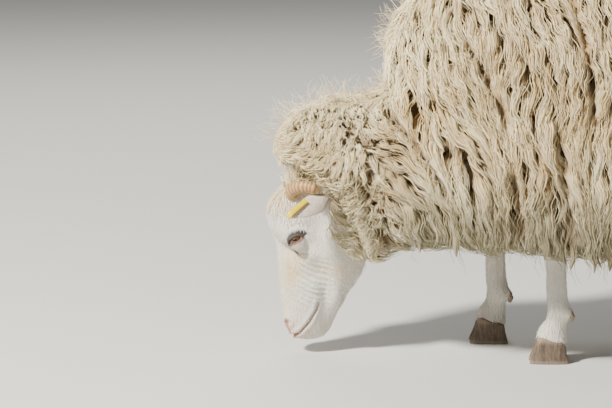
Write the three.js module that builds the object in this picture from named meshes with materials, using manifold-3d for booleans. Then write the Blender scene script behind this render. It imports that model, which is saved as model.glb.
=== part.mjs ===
// A life-size heath ewe in long fleece, small horned, standing with its head down to graze.
// Still model: flesh and fleece in closed solids that meet along their natural borders, with
// hooves, dewclaws, horns, eyes and ear tag as pieces of their own.
//
// Millimetres. +X is the animal's left, -Y the way it faces, +Z up, floor at z = 0. The shape is
// drawn round a post between the forefeet; the whole is then moved so that the origin lies at the
// middle of its footprint.
import * as THREE from "three";
import { mergeVertices } from "three/addons/utils/BufferGeometryUtils.js";
import Module from "manifold-3d";

const wasm = await Module();
wasm.setup();

// ---------------------------------------------------------------- driving dimensions

const GAP = 0.3; // between solids that touch
const BACK = 622; // top of the fleece over the withers
const HEM = 156; // lowest locks of the fleece along the barrel
const BARREL = 203; // half-width of the fleece at its widest
const HEAD_DROP = 16; // muzzle tip above the floor
const EYE = { x: 43, y: -290, z: 170, radius: 13 };
const FOOT_SPREAD = 68; // each foot's distance from the middle plane
const FORE_LEFT_Y = 76; // set back
const FORE_RIGHT_Y = -3; // set forward
const HIND_LEFT_Y = 452;
const HIND_RIGHT_Y = 492;
const CLAW_HALF = 11; // half-width of one hoof claw
const CLAW_SPLIT = 2; // gap between the two claws of a foot
const EAR_LENGTH = 85;
const HORN_RADIUS = 10.5;

const COLOURS = {
  fleece: 0xd9c7a6,
  faceHair: 0xe9e3d6,
  skin: 0xdcc0b0,
  horn: 0x9c7448,
  hoof: 0x4a4238,
  eye: 0x6a4a1c,
  tag: 0xe6d20e,
};

// ---------------------------------------------------------------- lofting

// Rings between key sections, each value on a smooth curve through its keys.
function between(keys, count) {
  const width = keys[0].length;
  const steps = keys.map((_, i) => i);
  const curve = new THREE.CubicInterpolant(steps, keys.flat(), width, new Float64Array(width));
  return Array.from({ length: count + 1 }, (_, i) =>
    Array.from(curve.evaluate((i / count) * (keys.length - 1))),
  );
}

// One closed ring that stands across the middle plane at x = middle. A section is
//   [yFront, zFront, yRear, zRear, halfWidth, boxFront, boxRear, heavy, swept]
// the ring's front (or upper) point, its rear (or lower) point, its half-width, how boxy each half
// is (2 is an ellipse), how much wider the front half is than the rear half, and how far the two
// sides lie back along the body. lumps(place) pushes each point outwards.
function ringOf(section, { sides, middle = 0, lumps = null }) {
  const [yA, zA, yB, zB, half, boxFront, boxRear, heavy, swept] = section;
  const centre = new THREE.Vector3(middle, (yA + yB) / 2, (zA + zB) / 2);
  const rise = new THREE.Vector3(0, yA - yB, zA - zB).multiplyScalar(0.5);
  const tall = rise.length();
  rise.normalize();
  const back = new THREE.Vector3(0, rise.z, -rise.y);
  return Array.from({ length: sides }, (_, i) => {
    const angle = ((i + 0.5) / sides) * 2 * Math.PI;
    const [sine, cosine] = [Math.sin(angle), Math.cos(angle)];
    const power = 2 / (sine > 0 ? boxFront : boxRear);
    const along = Math.sign(sine) * Math.abs(sine) ** power;
    const across = Math.sign(cosine) * Math.abs(cosine) ** power * (1 + heavy * along);
    const place = centre.clone().addScaledVector(rise, along * tall);
    place.addScaledVector(back, swept * cosine ** 2);
    place.x += across * half;
    if (lumps) {
      const out = new THREE.Vector3(across, 0, 0).addScaledVector(rise, along).normalize();
      place.addScaledVector(out, lumps(place));
    }
    return place;
  });
}

// A closed geometry through rings of equally many points. Each end is closed with a fan of faces
// round its middle, or, for a flat section, with a strip that joins its two long sides.
function loft(rings, strip = false) {
  const sides = rings[0].length;
  const points = rings.flat();
  const faces = [];
  for (let r = 0; r + 1 < rings.length; r++) {
    for (let i = 0; i < sides; i++) {
      const a = r * sides + i;
      const b = r * sides + ((i + 1) % sides);
      faces.push(a, b, b + sides, a, b + sides, a + sides);
    }
  }
  const sew = (first, flip) => {
    for (let i = 0; i + 1 < sides / 2; i++) {
      const [a, b, c, d] = [i, i + 1, sides - 2 - i, sides - 1 - i].map((k) => first + k);
      faces.push(...(flip ? [c, b, a, d, c, a] : [a, b, c, a, c, d]));
    }
  };
  const fan = (ring, first, flip) => {
    const tip = points.length;
    points.push(ring.reduce((sum, p) => sum.add(p), new THREE.Vector3()).divideScalar(sides));
    for (let i = 0; i < sides; i++) {
      const a = first + i;
      const b = first + ((i + 1) % sides);
      faces.push(...(flip ? [tip, b, a] : [tip, a, b]));
    }
  };
  const last = (rings.length - 1) * sides;
  if (strip) {
    sew(0, true);
    sew(last, false);
  } else {
    fan(rings[0], 0, true);
    fan(rings[rings.length - 1], last, false);
  }
  const geometry = new THREE.BufferGeometry().setFromPoints(points);
  geometry.setIndex(faces);
  return geometry;
}

// ---------------------------------------------------------------- solids

function welded(geometry) {
  const bare = geometry.clone();
  bare.deleteAttribute("normal");
  bare.deleteAttribute("uv");
  return mergeVertices(bare, 1e-4);
}

// A closed geometry as a solid, turned the right way out.
function solid(geometry) {
  const merged = welded(geometry);
  const triVerts = new Uint32Array(merged.index.array);
  const vertProperties = new Float32Array(merged.attributes.position.array);
  const made = new wasm.Manifold(new wasm.Mesh({ numProp: 3, vertProperties, triVerts }));
  if (made.volume() > 0) return made;
  const turned = triVerts.map((_, i) => triVerts[i - (i % 3) + (2 - (i % 3))]);
  return new wasm.Manifold(new wasm.Mesh({ numProp: 3, vertProperties, triVerts: turned }));
}

// The same solid with its surface moved outwards, to cut a neighbour so that they only nearly touch.
function grown(geometry, by = GAP) {
  const upright = welded(geometryOf(solid(geometry)));
  upright.computeVertexNormals();
  const { position, normal } = upright.attributes;
  const point = new THREE.Vector3();
  const out = new THREE.Vector3();
  for (let i = 0; i < position.count; i++) {
    out.fromBufferAttribute(normal, i);
    point.fromBufferAttribute(position, i).addScaledVector(out, by);
    position.setXYZ(i, point.x, point.y, point.z);
  }
  return solid(upright);
}

function geometryOf(made) {
  const mesh = made.getMesh();
  const geometry = new THREE.BufferGeometry();
  geometry.setAttribute("position", new THREE.BufferAttribute(mesh.vertProperties, 3));
  geometry.setIndex(new THREE.BufferAttribute(mesh.triVerts, 1));
  const faceted = geometry.toNonIndexed();
  faceted.computeVertexNormals();
  return faceted;
}

// The largest body of a solid: a cut can leave slivers beside it.
function largest(made) {
  return made.decompose().reduce((best, body) => (body.volume() > best.volume() ? body : best));
}

const cut = (from, ...cutters) => largest(cutters.reduce((rest, tool) => rest.subtract(tool), from));

const lofted = (keys, count, options) =>
  loft(between(keys, count).map((section) => ringOf(section, options)));

// A ball stretched to three radii.
function ball([x, y, z], [rx, ry, rz], segments = 16) {
  const geometry = new THREE.SphereGeometry(1, segments, Math.round(segments * 0.6));
  geometry.scale(rx, ry, rz);
  geometry.translate(x, y, z);
  return geometry;
}

// ---------------------------------------------------------------- fleece

const smooth = (low, high, v) => THREE.MathUtils.smoothstep(v, low, high);

// Hanging locks: upright ridges down the flanks, deepest near the hem, none along the spine.
function fleeceLumps(depth) {
  return ({ x, y, z }) => {
    const hang = 1 - smooth(HEM, BACK * 0.85, z);
    const side = Math.sign(x || 1);
    const ridge = Math.sin(y / 13 + side * 0.9 + z / 70) + 0.6 * Math.sin(y / 8.6 + z / 41 + side);
    const swell = Math.sin(y / 47 + z / 60 + side * 2);
    return depth * (0.25 + hang) * (0.6 * ridge + 0.5 * swell);
  };
}

// From the breast wool to the rump: a back point, a belly point. The lower half is boxy, for the
// locks hang off the flanks like a curtain.
const TRUNK = [
  [-168, 436, -164, 384, 14, 2, 2, 0, 0],
  [-160, 474, -154, 300, 72, 2.1, 2.2, 0, 0],
  [-138, 508, -128, 210, 120, 2.2, 2.8, 0, 0],
  [-92, 560, -86, HEM + 8, BARREL * 0.79, 2.2, 3.6, -0.02, 0],
  [-14, BACK - 14, -8, HEM, BARREL * 0.89, 2.3, 4.4, -0.04, 0],
  [90, BACK, 92, HEM - 2, BARREL * 0.95, 2.3, 5, -0.05, 0],
  [220, BACK - 6, 220, HEM, BARREL * 0.98, 2.3, 5, -0.05, 0],
  [350, BACK - 17, 350, HEM + 3, BARREL * 0.97, 2.3, 5, -0.06, 0],
  [450, BACK - 16, 448, HEM + 6, BARREL * 0.9, 2.2, 4.4, -0.03, 0],
  [524, BACK - 46, 518, HEM + 16, BARREL * 0.75, 2.2, 3.2, 0, 0],
  [568, BACK - 108, 560, HEM + 54, BARREL * 0.53, 2.1, 2.6, 0, 0],
  [588, 452, 584, 290, 52, 2, 2, 0, 0],
  [592, 400, 592, 350, 12, 2, 2, 0, 0],
];

// From the wool collar round the skull back into the shoulders: nape point, throat point. The
// collar's sides are swept back behind the ears.
const NECK = [
  [-302, 270, -196, 142, 46, 2, 2, 0, 34],
  [-321, 284, -184, 130, 84, 2.1, 2.1, 0.04, 32],
  [-320, 320, -168, 134, 106, 2.2, 2.2, 0.04, 24],
  [-290, 354, -148, 144, 120, 2.3, 2.3, 0, 14],
  [-243, 372, -120, 150, 130, 2.3, 2.4, -0.04, 6],
  [-194, 374, -86, 154, 138, 2.3, 2.5, -0.04, 0],
  [-130, 400, -36, 176, 138, 2.2, 2.4, 0, 0],
];

// Hung from the croup: rear point, inner point.
const TAIL = [
  [560, 545, 530, 500, 22, 2, 2, 0, 0],
  [598, 522, 556, 462, 33, 2.1, 2.1, 0, 0],
  [624, 470, 572, 430, 39, 2.2, 2.2, 0, 0],
  [630, 412, 580, 396, 38, 2.2, 2.2, 0, 0],
  [623, 352, 590, 352, 28, 2.1, 2.1, 0, 0],
  [614, 316, 600, 318, 13, 2, 2, 0, 0],
  [609, 304, 605, 305, 3, 2, 2, 0, 0],
];

const trunkShape = lofted(TRUNK, 32, { sides: 28, lumps: fleeceLumps(5) });
const neckShape = lofted(NECK, 12, { sides: 22, lumps: fleeceLumps(3) });
const tailShape = lofted(TAIL, 7, { sides: 10 });

// ---------------------------------------------------------------- head

// From the back of the skull to the lips: a point on the face's front, a point under the jaw.
const HEAD = [
  [-282, 270, -206, 206, 38, 2.1, 2.1, 0.1, 0],
  [-307, 246, -198, 168, 47, 2.2, 2.2, 0.1, 0],
  [-328, 220, -192, 146, 50, 2.3, 2.2, 0.1, 0],
  [-333, 192, -192, 130, 48, 2.3, 2.2, 0.08, 0],
  [-325, 168, -197, 115, 46, 2.3, 2.2, 0, 0],
  [-320.5, 146, -205, 101, 43, 2.3, 2.2, -0.08, 0],
  [-319, 120, -214, 87, 39.5, 2.2, 2.2, -0.15, 0],
  [-317, 96, -221, 73, 35, 2.2, 2.2, -0.18, 0],
  [-315, 72, -229, 59, 31, 2.3, 2.2, -0.1, 0],
  [-311, 50, -235, 45, 29, 2.4, 2.2, 0.02, 0],
  [-304, HEAD_DROP + 16, -241, HEAD_DROP + 16, 26, 2.3, 2.2, 0.06, 0],
  [-294, HEAD_DROP + 4, -250, HEAD_DROP + 6, 19, 2.2, 2.2, 0, 0],
  [-282, HEAD_DROP, -262, HEAD_DROP + 1, 8, 2, 2, 0, 0],
];

// Swellings and hollows of the face, alike on both sides: place, reach, height.
const FACE_FORMS = [
  [[47, -295, 177], [20, 19, 16], 6], // rim of the eye socket
  [[38, -306, 190], [20, 16, 14], 3.5], // brow
  [[34, -308, 147], [16, 13, 12], -4], // tear groove
  [[46, -272, 149], [22, 26, 10], 3], // cheekbone
  [[40, -262, 118], [18, 22, 18], -3.5], // hollow of the cheek
  [[40, -224, 143], [26, 26, 30], 7], // chewing muscle
  [[44, -262, 198], [16, 14, 16], -3], // temple
  [[20, -306, 44], [12, 12, 13], 3], // wing of the nostril
  [[24, -286, 32], [14, 14, 14], 2], // upper lip
  [[26, -248, 58], [12, 12, 22], -3], // side of the lower jaw
];

function faceLumps({ x, y, z }) {
  return FACE_FORMS.reduce((sum, [[ax, ay, az], [rx, ry, rz], height]) => {
    const far = ((Math.abs(x) - ax) / rx) ** 2 + ((y - ay) / ry) ** 2 + ((z - az) / rz) ** 2;
    return sum + height * Math.exp(-far);
  }, 0);
}

const headShape = lofted(HEAD, 27, { sides: 24, lumps: faceLumps });
const LIP_LINE = { y: -259, z: 77, long: 66, wide: 27, slope: 59, open: 2.4 };

// A groove between the lips, as a tool: a slanting plate with a tongue-shaped hole.
function lipGroove() {
  const outline = new THREE.Shape();
  outline.moveTo(-50, 0);
  outline.lineTo(50, 0);
  outline.lineTo(50, 90);
  outline.lineTo(-50, 90);
  const hole = new THREE.Path();
  hole.absellipse(0, -8, LIP_LINE.wide, LIP_LINE.long, 0.14, Math.PI - 0.14, false);
  outline.holes.push(hole);
  const plate = new THREE.ExtrudeGeometry(outline, {
    depth: LIP_LINE.open,
    bevelEnabled: false,
    curveSegments: 10,
  });
  plate.rotateX(THREE.MathUtils.degToRad(LIP_LINE.slope + 180));
  plate.translate(0, LIP_LINE.y, LIP_LINE.z);
  return solid(plate);
}

function nostrilTool(side) {
  const geometry = new THREE.SphereGeometry(1, 10, 6);
  geometry.scale(3, 7.5, 4);
  geometry.rotateX(THREE.MathUtils.degToRad(-38));
  geometry.rotateZ(side * THREE.MathUtils.degToRad(24));
  geometry.translate(side * 15, -307, 40);
  return solid(geometry);
}

const eyeShape = (side) =>
  ball([side * EYE.x, EYE.y, EYE.z], [EYE.radius, EYE.radius, EYE.radius], 12);

// ---------------------------------------------------------------- ears, horns, tag

const EAR_ROOT = new THREE.Vector3(44, -245, 232);
const EAR_AXIS = new THREE.Vector3(74, -44, -6).normalize();
const EAR_BACK = new THREE.Vector3(0.5, 0.42, 0.74);
EAR_BACK.addScaledVector(EAR_AXIS, -EAR_BACK.dot(EAR_AXIS)).normalize();
const EAR_ACROSS = new THREE.Vector3().crossVectors(EAR_AXIS, EAR_BACK);
const EAR_DROOP = 14; // how far the tip bends down from the root's line

// Half-width, half-angle of the roll and thickness, from the root to the tip.
const EAR = [
  [11, 1.3, 4.4],
  [15, 1, 4.2],
  [18, 0.75, 4],
  [16, 0.5, 3.6],
  [11.5, 0.35, 3.2],
  [3, 0.3, 2.6],
];

// A place on the left ear: along its length, across it, and out from its back.
const onEar = (along, across, out) =>
  EAR_ROOT.clone()
    .addScaledVector(EAR_AXIS, along)
    .addScaledVector(EAR_ACROSS, across)
    .addScaledVector(EAR_BACK, out);

// A leaf rolled into a cup: its back and its hollow face, share running from root to tip.
function earRing([half, roll, thick], share) {
  const radius = half / roll;
  const rim = radius * Math.cos(roll);
  const steps = 6;
  const arc = (r, sign) =>
    Array.from({ length: steps }, (_, i) => {
      const a = sign * roll * ((2 * i) / (steps - 1) - 1);
      const out = r * Math.cos(a) - rim - EAR_DROOP * share ** 2;
      return onEar(EAR_LENGTH * share, r * Math.sin(a), out);
    });
  return [...arc(radius, 1), ...arc(radius - thick, -1)];
}

const earShape = loft(
  between(EAR, 9).map((section, i) => earRing(section, i / 9)),
  true,
);

// A short horn from the crown, out and back round the ear's root, with growth rings.
const HORN_PATH = new THREE.CatmullRomCurve3([
  new THREE.Vector3(22, -288, 228),
  new THREE.Vector3(36, -298, 238),
  new THREE.Vector3(52, -292, 247),
  new THREE.Vector3(63, -277, 250),
  new THREE.Vector3(68, -260, 247),
]);

function hornOf() {
  const count = 18;
  const frames = HORN_PATH.computeFrenetFrames(count, false);
  const rings = Array.from({ length: count + 1 }, (_, i) => {
    const share = i / count;
    const taper = share > 0.97 ? 0.3 : 1 - 0.42 * share;
    const ridge = 1 + 0.045 * Math.cos(i * Math.PI);
    const radius = HORN_RADIUS * taper * ridge;
    const centre = HORN_PATH.getPointAt(share);
    return Array.from({ length: 9 }, (_, k) => {
      const angle = (k / 9) * 2 * Math.PI;
      return centre
        .clone()
        .addScaledVector(frames.normals[i], Math.cos(angle) * radius)
        .addScaledVector(frames.binormals[i], Math.sin(angle) * radius * 0.94);
    });
  });
  return loft(rings);
}

const hornShape = hornOf();

// A loop tag: one strap bent round the ear's tip, pinned through it.
const TAG = { leg: 35, wide: 7, thick: 1.6, opening: 8.8, pin: 2.2, along: 50, across: 9 };

function placedOnEar(geometry) {
  const frame = new THREE.Matrix4().makeBasis(EAR_AXIS, EAR_ACROSS, EAR_BACK);
  frame.multiply(new THREE.Matrix4().makeRotationY(THREE.MathUtils.degToRad(17)));
  frame.multiply(new THREE.Matrix4().makeRotationZ(THREE.MathUtils.degToRad(-6)));
  frame.setPosition(onEar(TAG.along, TAG.across, -3.9));
  return geometry.applyMatrix4(frame);
}

function tagPin() {
  const height = TAG.opening + TAG.thick;
  const pin = new THREE.CylinderGeometry(TAG.pin, TAG.pin, height, 12);
  pin.rotateX(Math.PI / 2);
  pin.translate(TAG.leg * 0.32, 0, 0);
  return placedOnEar(pin);
}

function tagSolid() {
  const inner = TAG.opening / 2;
  const outer = inner + TAG.thick;
  const strap = new THREE.Shape();
  strap.moveTo(0, outer);
  strap.lineTo(TAG.leg, outer);
  strap.absarc(TAG.leg, 0, outer, Math.PI / 2, -Math.PI / 2, true);
  strap.lineTo(0, -outer);
  strap.lineTo(0, -inner);
  strap.lineTo(TAG.leg, -inner);
  strap.absarc(TAG.leg, 0, inner, -Math.PI / 2, Math.PI / 2, false);
  strap.lineTo(0, inner);
  const loop = new THREE.ExtrudeGeometry(strap, {
    depth: TAG.wide,
    bevelEnabled: false,
    curveSegments: 8,
  });
  loop.translate(0, 0, -TAG.wide / 2);
  loop.rotateX(Math.PI / 2);
  return solid(placedOnEar(loop)).add(solid(tagPin()));
}

// ---------------------------------------------------------------- legs and feet

// Sections up a leg: front point, rear point, half-width, from the hoof's edge into the fleece.
const PASTERN = [
  [-27, 37.9, 17, 24.4, 21, 2.2, 2.2, 0, 0],
  [-22, 50, 17, 40, 17, 2.2, 2.2, 0, 0],
  [-14, 62, 18, 56, 16, 2.2, 2.2, 0, 0],
  [-12, 78, 22, 74, 18, 2.2, 2.2, 0, 0],
];
const FORE_LEG = [
  ...PASTERN,
  [-14, 98, 18, 97, 15.5, 2.2, 2.2, 0, 0],
  [-15, 135, 16, 135, 14.5, 2.2, 2.2, 0, 0],
  [-17, 164, 17, 164, 17, 2.2, 2.2, 0, 0],
  [-18, 190, 18, 190, 20, 2.2, 2.2, 0, 0],
  [-20, 230, 24, 230, 23, 2.1, 2.1, 0, 0],
];
const HIND_LEG = [
  ...PASTERN,
  [-11, 98, 18, 98, 14.5, 2.2, 2.2, 0, 0],
  [-12, 135, 16, 136, 13, 2.2, 2.2, 0, 0],
  [-13, 168, 20, 172, 14, 2.2, 2.2, 0, 0],
  [-16, 202, 32, 212, 18, 2.2, 2.2, 0, 0],
  [-30, 236, 34, 256, 22, 2.1, 2.1, 0, 0],
];

const moved = (keys, y) => keys.map(([a, za, b, zb, ...rest]) => [a + y, za, b + y, zb, ...rest]);

const legShape = (keys, x, y) => lofted(moved(keys, y), 11, { sides: 10, middle: x });

// One claw of a foot: flat sole on the floor, toe pointing forward, top sloped down to the heel.
const CLAW = [
  [-37, 0, 20, 0, CLAW_HALF, 2.5, 2.5, -0.22, 0],
  [-33, 16, 19.5, 10, CLAW_HALF, 2.5, 2.5, -0.16, 0],
  [-27, 37.5, 17, 24, CLAW_HALF * 0.93, 2.3, 2.3, -0.05, 0],
];

const clawShape = (x, y) => lofted(moved(CLAW, y), 3, { sides: 12, middle: x });

const dewclawShape = (x, y) => ball([x, y + 21.5, 67], [5.4, 5.6, 8], 7);

// The nodes of one leg: the limb, two claws and two dewclaws.
function legNodes(name, keys, side, y, body) {
  const x = side * FOOT_SPREAD;
  const offset = side * (CLAW_HALF + CLAW_SPLIT / 2);
  const dewclaws = [dewclawShape(x - offset, y), dewclawShape(x + offset, y)];
  const limb = cut(solid(legShape(keys, x, y)), body, ...dewclaws.map((shape) => grown(shape)));
  return {
    [`${name}_leg`]: [limb, COLOURS.faceHair],
    [`${name}_claw_inner`]: [solid(clawShape(x - offset, y)), COLOURS.hoof],
    [`${name}_claw_outer`]: [solid(clawShape(x + offset, y)), COLOURS.hoof],
    [`${name}_dewclaw_inner`]: [solid(dewclaws[0]), COLOURS.hoof],
    [`${name}_dewclaw_outer`]: [solid(dewclaws[1]), COLOURS.hoof],
  };
}

// ---------------------------------------------------------------- assembly

function mirrored(made) {
  const geometry = geometryOf(made);
  geometry.scale(-1, 1, 1);
  return solid(geometry);
}

function allNodes() {
  const grownTrunk = grown(trunkShape);
  const ear = solid(earShape);
  const horn = solid(hornShape);
  const crownTools = [grown(earShape), grown(hornShape)];
  crownTools.push(...crownTools.map(mirrored));
  const eyeTools = [grown(eyeShape(1)), grown(eyeShape(-1))];
  const muzzleTools = [lipGroove(), nostrilTool(1), nostrilTool(-1)];
  const head = cut(solid(headShape), grown(neckShape), ...eyeTools, ...crownTools, ...muzzleTools);
  const neck = cut(solid(neckShape), grownTrunk, ...crownTools);
  return {
    trunk: [solid(trunkShape), COLOURS.fleece],
    neck: [neck, COLOURS.fleece],
    head: [head, COLOURS.faceHair],
    tail: [cut(solid(tailShape), grownTrunk), COLOURS.fleece],
    left_ear: [cut(ear, grown(tagPin())), COLOURS.skin],
    right_ear: [mirrored(ear), COLOURS.skin],
    left_ear_tag: [tagSolid(), COLOURS.tag],
    left_horn: [horn, COLOURS.horn],
    right_horn: [mirrored(horn), COLOURS.horn],
    left_eye: [solid(eyeShape(1)), COLOURS.eye],
    right_eye: [solid(eyeShape(-1)), COLOURS.eye],
    ...legNodes("left_fore", FORE_LEG, 1, FORE_LEFT_Y, grownTrunk),
    ...legNodes("right_fore", FORE_LEG, -1, FORE_RIGHT_Y, grownTrunk),
    ...legNodes("left_hind", HIND_LEG, 1, HIND_LEFT_Y, grownTrunk),
    ...legNodes("right_hind", HIND_LEG, -1, HIND_RIGHT_Y, grownTrunk),
  };
}

const sheep = new THREE.Group();
for (const [name, [made, color]] of Object.entries(allNodes())) {
  const gloss = name.includes("eye") ? 0.15 : 0.85;
  const material = new THREE.MeshStandardMaterial({ color, roughness: gloss, metalness: 0 });
  const mesh = new THREE.Mesh(geometryOf(made), material);
  mesh.name = name;
  sheep.add(mesh);
}
const box = new THREE.Box3().setFromObject(sheep);
const middle = box.getCenter(new THREE.Vector3());
sheep.position.set(-middle.x, -middle.y, -box.min.z);

export default sheep;
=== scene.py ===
import itertools
import math
import bmesh
import bpy
import numpy as np
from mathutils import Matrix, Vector
from mathutils.bvhtree import BVHTree
from mathutils.kdtree import KDTree


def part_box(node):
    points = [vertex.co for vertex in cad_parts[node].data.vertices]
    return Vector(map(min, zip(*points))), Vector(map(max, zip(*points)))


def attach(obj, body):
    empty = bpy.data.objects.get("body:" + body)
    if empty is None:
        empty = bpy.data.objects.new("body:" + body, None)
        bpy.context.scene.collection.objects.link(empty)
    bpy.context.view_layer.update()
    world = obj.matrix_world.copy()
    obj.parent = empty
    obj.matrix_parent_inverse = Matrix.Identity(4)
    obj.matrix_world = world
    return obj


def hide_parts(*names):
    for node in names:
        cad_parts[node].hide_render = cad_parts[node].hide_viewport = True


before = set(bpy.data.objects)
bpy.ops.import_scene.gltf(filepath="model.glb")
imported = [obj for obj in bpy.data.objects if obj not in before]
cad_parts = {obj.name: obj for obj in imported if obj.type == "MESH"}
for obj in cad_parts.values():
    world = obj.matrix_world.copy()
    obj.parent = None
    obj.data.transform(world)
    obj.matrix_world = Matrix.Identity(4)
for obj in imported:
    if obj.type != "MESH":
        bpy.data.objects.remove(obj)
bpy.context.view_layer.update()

# Shapes are worked out in millimetres: +X is the sheep's left, -Y its face, +Z up.
# The same place in the frame is SHIFT further on, in metres.
EYE = np.array([43.0, -290.0, 170.0])
_low, _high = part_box("left_eye")
SHIFT = (np.array(_low) + np.array(_high)) / 2 - EYE / 1000
rng = np.random.default_rng(20)


def place(points):
    return np.asarray(points, float) / 1000 + SHIFT


def unit(v):
    v = np.asarray(v, float)
    return v / np.maximum(np.linalg.norm(v, axis=-1, keepdims=True), 1e-9)


def dot(a, b):
    return np.sum(a * b, axis=-1, keepdims=True)


def smooth(x, low, high):
    t = np.clip((x - low) / (high - low), 0, 1)
    return t * t * (3 - 2 * t)


# ------------------------------------------------------------------ camera
def aim(obj, target):
    ray = Vector(target) - obj.location
    obj.rotation_euler = ray.to_track_quat("-Z", "Y").to_euler()


LOOK_AT = place((0, -277.1, 214.6))
CAMERA_RISE = math.radians(10)
CAMERA_DISTANCE = 5  # metres
camera = bpy.data.objects.new("camera", bpy.data.cameras.new("camera"))
bpy.context.collection.objects.link(camera)
camera.data.lens = 205.9
camera.data.sensor_width = 36
from_there = np.array([math.cos(CAMERA_RISE), 0, math.sin(CAMERA_RISE)])
camera.location = LOOK_AT + CAMERA_DISTANCE * from_there
aim(camera, LOOK_AT)
camera.data.clip_end = 60
bpy.context.scene.camera = camera


# ------------------------------------------------------------- mesh making
def new_object(name, points, faces):
    """A piece from points in millimetres and a list of corner lists."""
    mesh = bpy.data.meshes.new(name)
    mesh.from_pydata([tuple(p) for p in place(points)], [], faces)
    mesh.update()
    obj = bpy.data.objects.new(name, mesh)
    bpy.context.collection.objects.link(obj)
    mesh.polygons.foreach_set("use_smooth", np.ones(len(mesh.polygons), bool))
    return obj


def activate(obj):
    bpy.ops.object.select_all(action="DESELECT")
    obj.select_set(True)
    bpy.context.view_layer.objects.active = obj


def apply_modifier(obj, kind, **values):
    activate(obj)
    modifier = obj.modifiers.new(kind.lower(), kind)
    for key, value in values.items():
        setattr(modifier, key, value)
    bpy.ops.object.modifier_apply(modifier=modifier.name)


def join(name, objects):
    activate(objects[0])
    for obj in objects:
        obj.select_set(True)
    bpy.ops.object.join()
    objects[0].name = objects[0].data.name = name
    return objects[0]


def verts_of(obj):
    """The points of a piece, in millimetres."""
    flat = np.empty(len(obj.data.vertices) * 3)
    obj.data.vertices.foreach_get("co", flat)
    return (flat.reshape(-1, 3) - SHIFT) * 1000


def set_verts(obj, points):
    obj.data.vertices.foreach_set("co", place(points).ravel())
    obj.data.update()


def set_attribute(obj, name, values):
    layer = obj.data.attributes.new(name, "FLOAT", "POINT")
    layer.data.foreach_set("value", np.asarray(values, np.float32).ravel())


def outward_faces(obj):
    activate(obj)
    bpy.ops.object.mode_set(mode="EDIT")
    bpy.ops.mesh.select_all(action="SELECT")
    bpy.ops.mesh.normals_make_consistent(inside=False)
    bpy.ops.object.mode_set(mode="OBJECT")


def finish_piece(obj, material, slot, *nodes):
    obj.data.materials.clear()
    obj.data.materials.append(material)
    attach(obj, "root")
    if nodes:
        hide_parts(*nodes)


# ------------------------------------------------------------ skin: sections
def eased(keys, counts):
    """Rows between the keys, counts[i] of them after key i, on a smooth curve."""
    keys = np.array(keys, float)
    rows = []
    for i, count in enumerate(counts):
        a, b = keys[i], keys[i + 1]
        leave = (b - keys[i - 1]) / 2 if i else b - a
        arrive = (keys[i + 2] - a) / 2 if i + 2 < len(keys) else b - a
        t = np.linspace(0, 1, count, endpoint=False)[:, None]
        rows.append(
            (2 * t**3 - 3 * t**2 + 1) * a
            + (t**3 - 2 * t**2 + t) * leave
            + (3 * t**2 - 2 * t**3) * b
            + (t**3 - t**2) * arrive
        )
    return np.concatenate(rows + [keys[-1:]])


def rings_of(sections, angles, middle=(0, 0)):
    """Rings of points, one for each section.

    A section is front y z, rear y z, half width, how boxy it is in front and
    behind, and how much wider in front.
    """
    y_front, z_front, y_rear, z_rear, half, box_front, box_rear, heavy = (
        sections.T[:, :, None]
    )
    s, c = np.sin(angles)[None], np.cos(angles)[None]
    box = np.where(s > 0, box_front, box_rear)
    along = np.sign(s) * np.abs(s) ** (2 / box)
    across = np.sign(c) * np.abs(c) ** (2 / box) * (1 + heavy * along)
    return np.stack(
        [
            middle[0] + half * across,
            middle[1] + (y_front + y_rear) / 2 + (y_front - y_rear) / 2 * along,
            (z_front + z_rear) / 2 + (z_front - z_rear) / 2 * along,
        ],
        axis=-1,
    )


def grid_normals(rings):
    step = np.gradient(rings, axis=0)
    turn = np.roll(rings, -1, axis=1) - np.roll(rings, 1, axis=1)
    normals = unit(np.cross(step, turn))
    outward = rings - rings.mean(axis=1, keepdims=True)
    flip = np.sign(np.mean(dot(normals, outward), axis=1, keepdims=True))
    return normals * flip


def tube(name, rings):
    """A closed tube through the rings, with a point at each end."""
    count, sides = rings.shape[:2]
    points = np.concatenate(
        [rings.reshape(-1, 3), rings[0].mean(0)[None], rings[-1].mean(0)[None]]
    )
    i, j = np.meshgrid(np.arange(count - 1), np.arange(sides), indexing="ij")
    k = (j + 1) % sides
    faces = np.stack([i * sides + j, i * sides + k, (i + 1) * sides + k, (i + 1) * sides + j], -1)
    faces = faces.reshape(-1, 4).tolist()
    j = np.arange(sides)
    k = (j + 1) % sides
    start, end, last = count * sides, count * sides + 1, (count - 1) * sides
    faces += np.stack([k, j, j * 0 + start], -1).tolist()
    faces += np.stack([last + j, last + k, j * 0 + end], -1).tolist()
    obj = new_object(name, points, faces)
    outward_faces(obj)
    return obj


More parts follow.
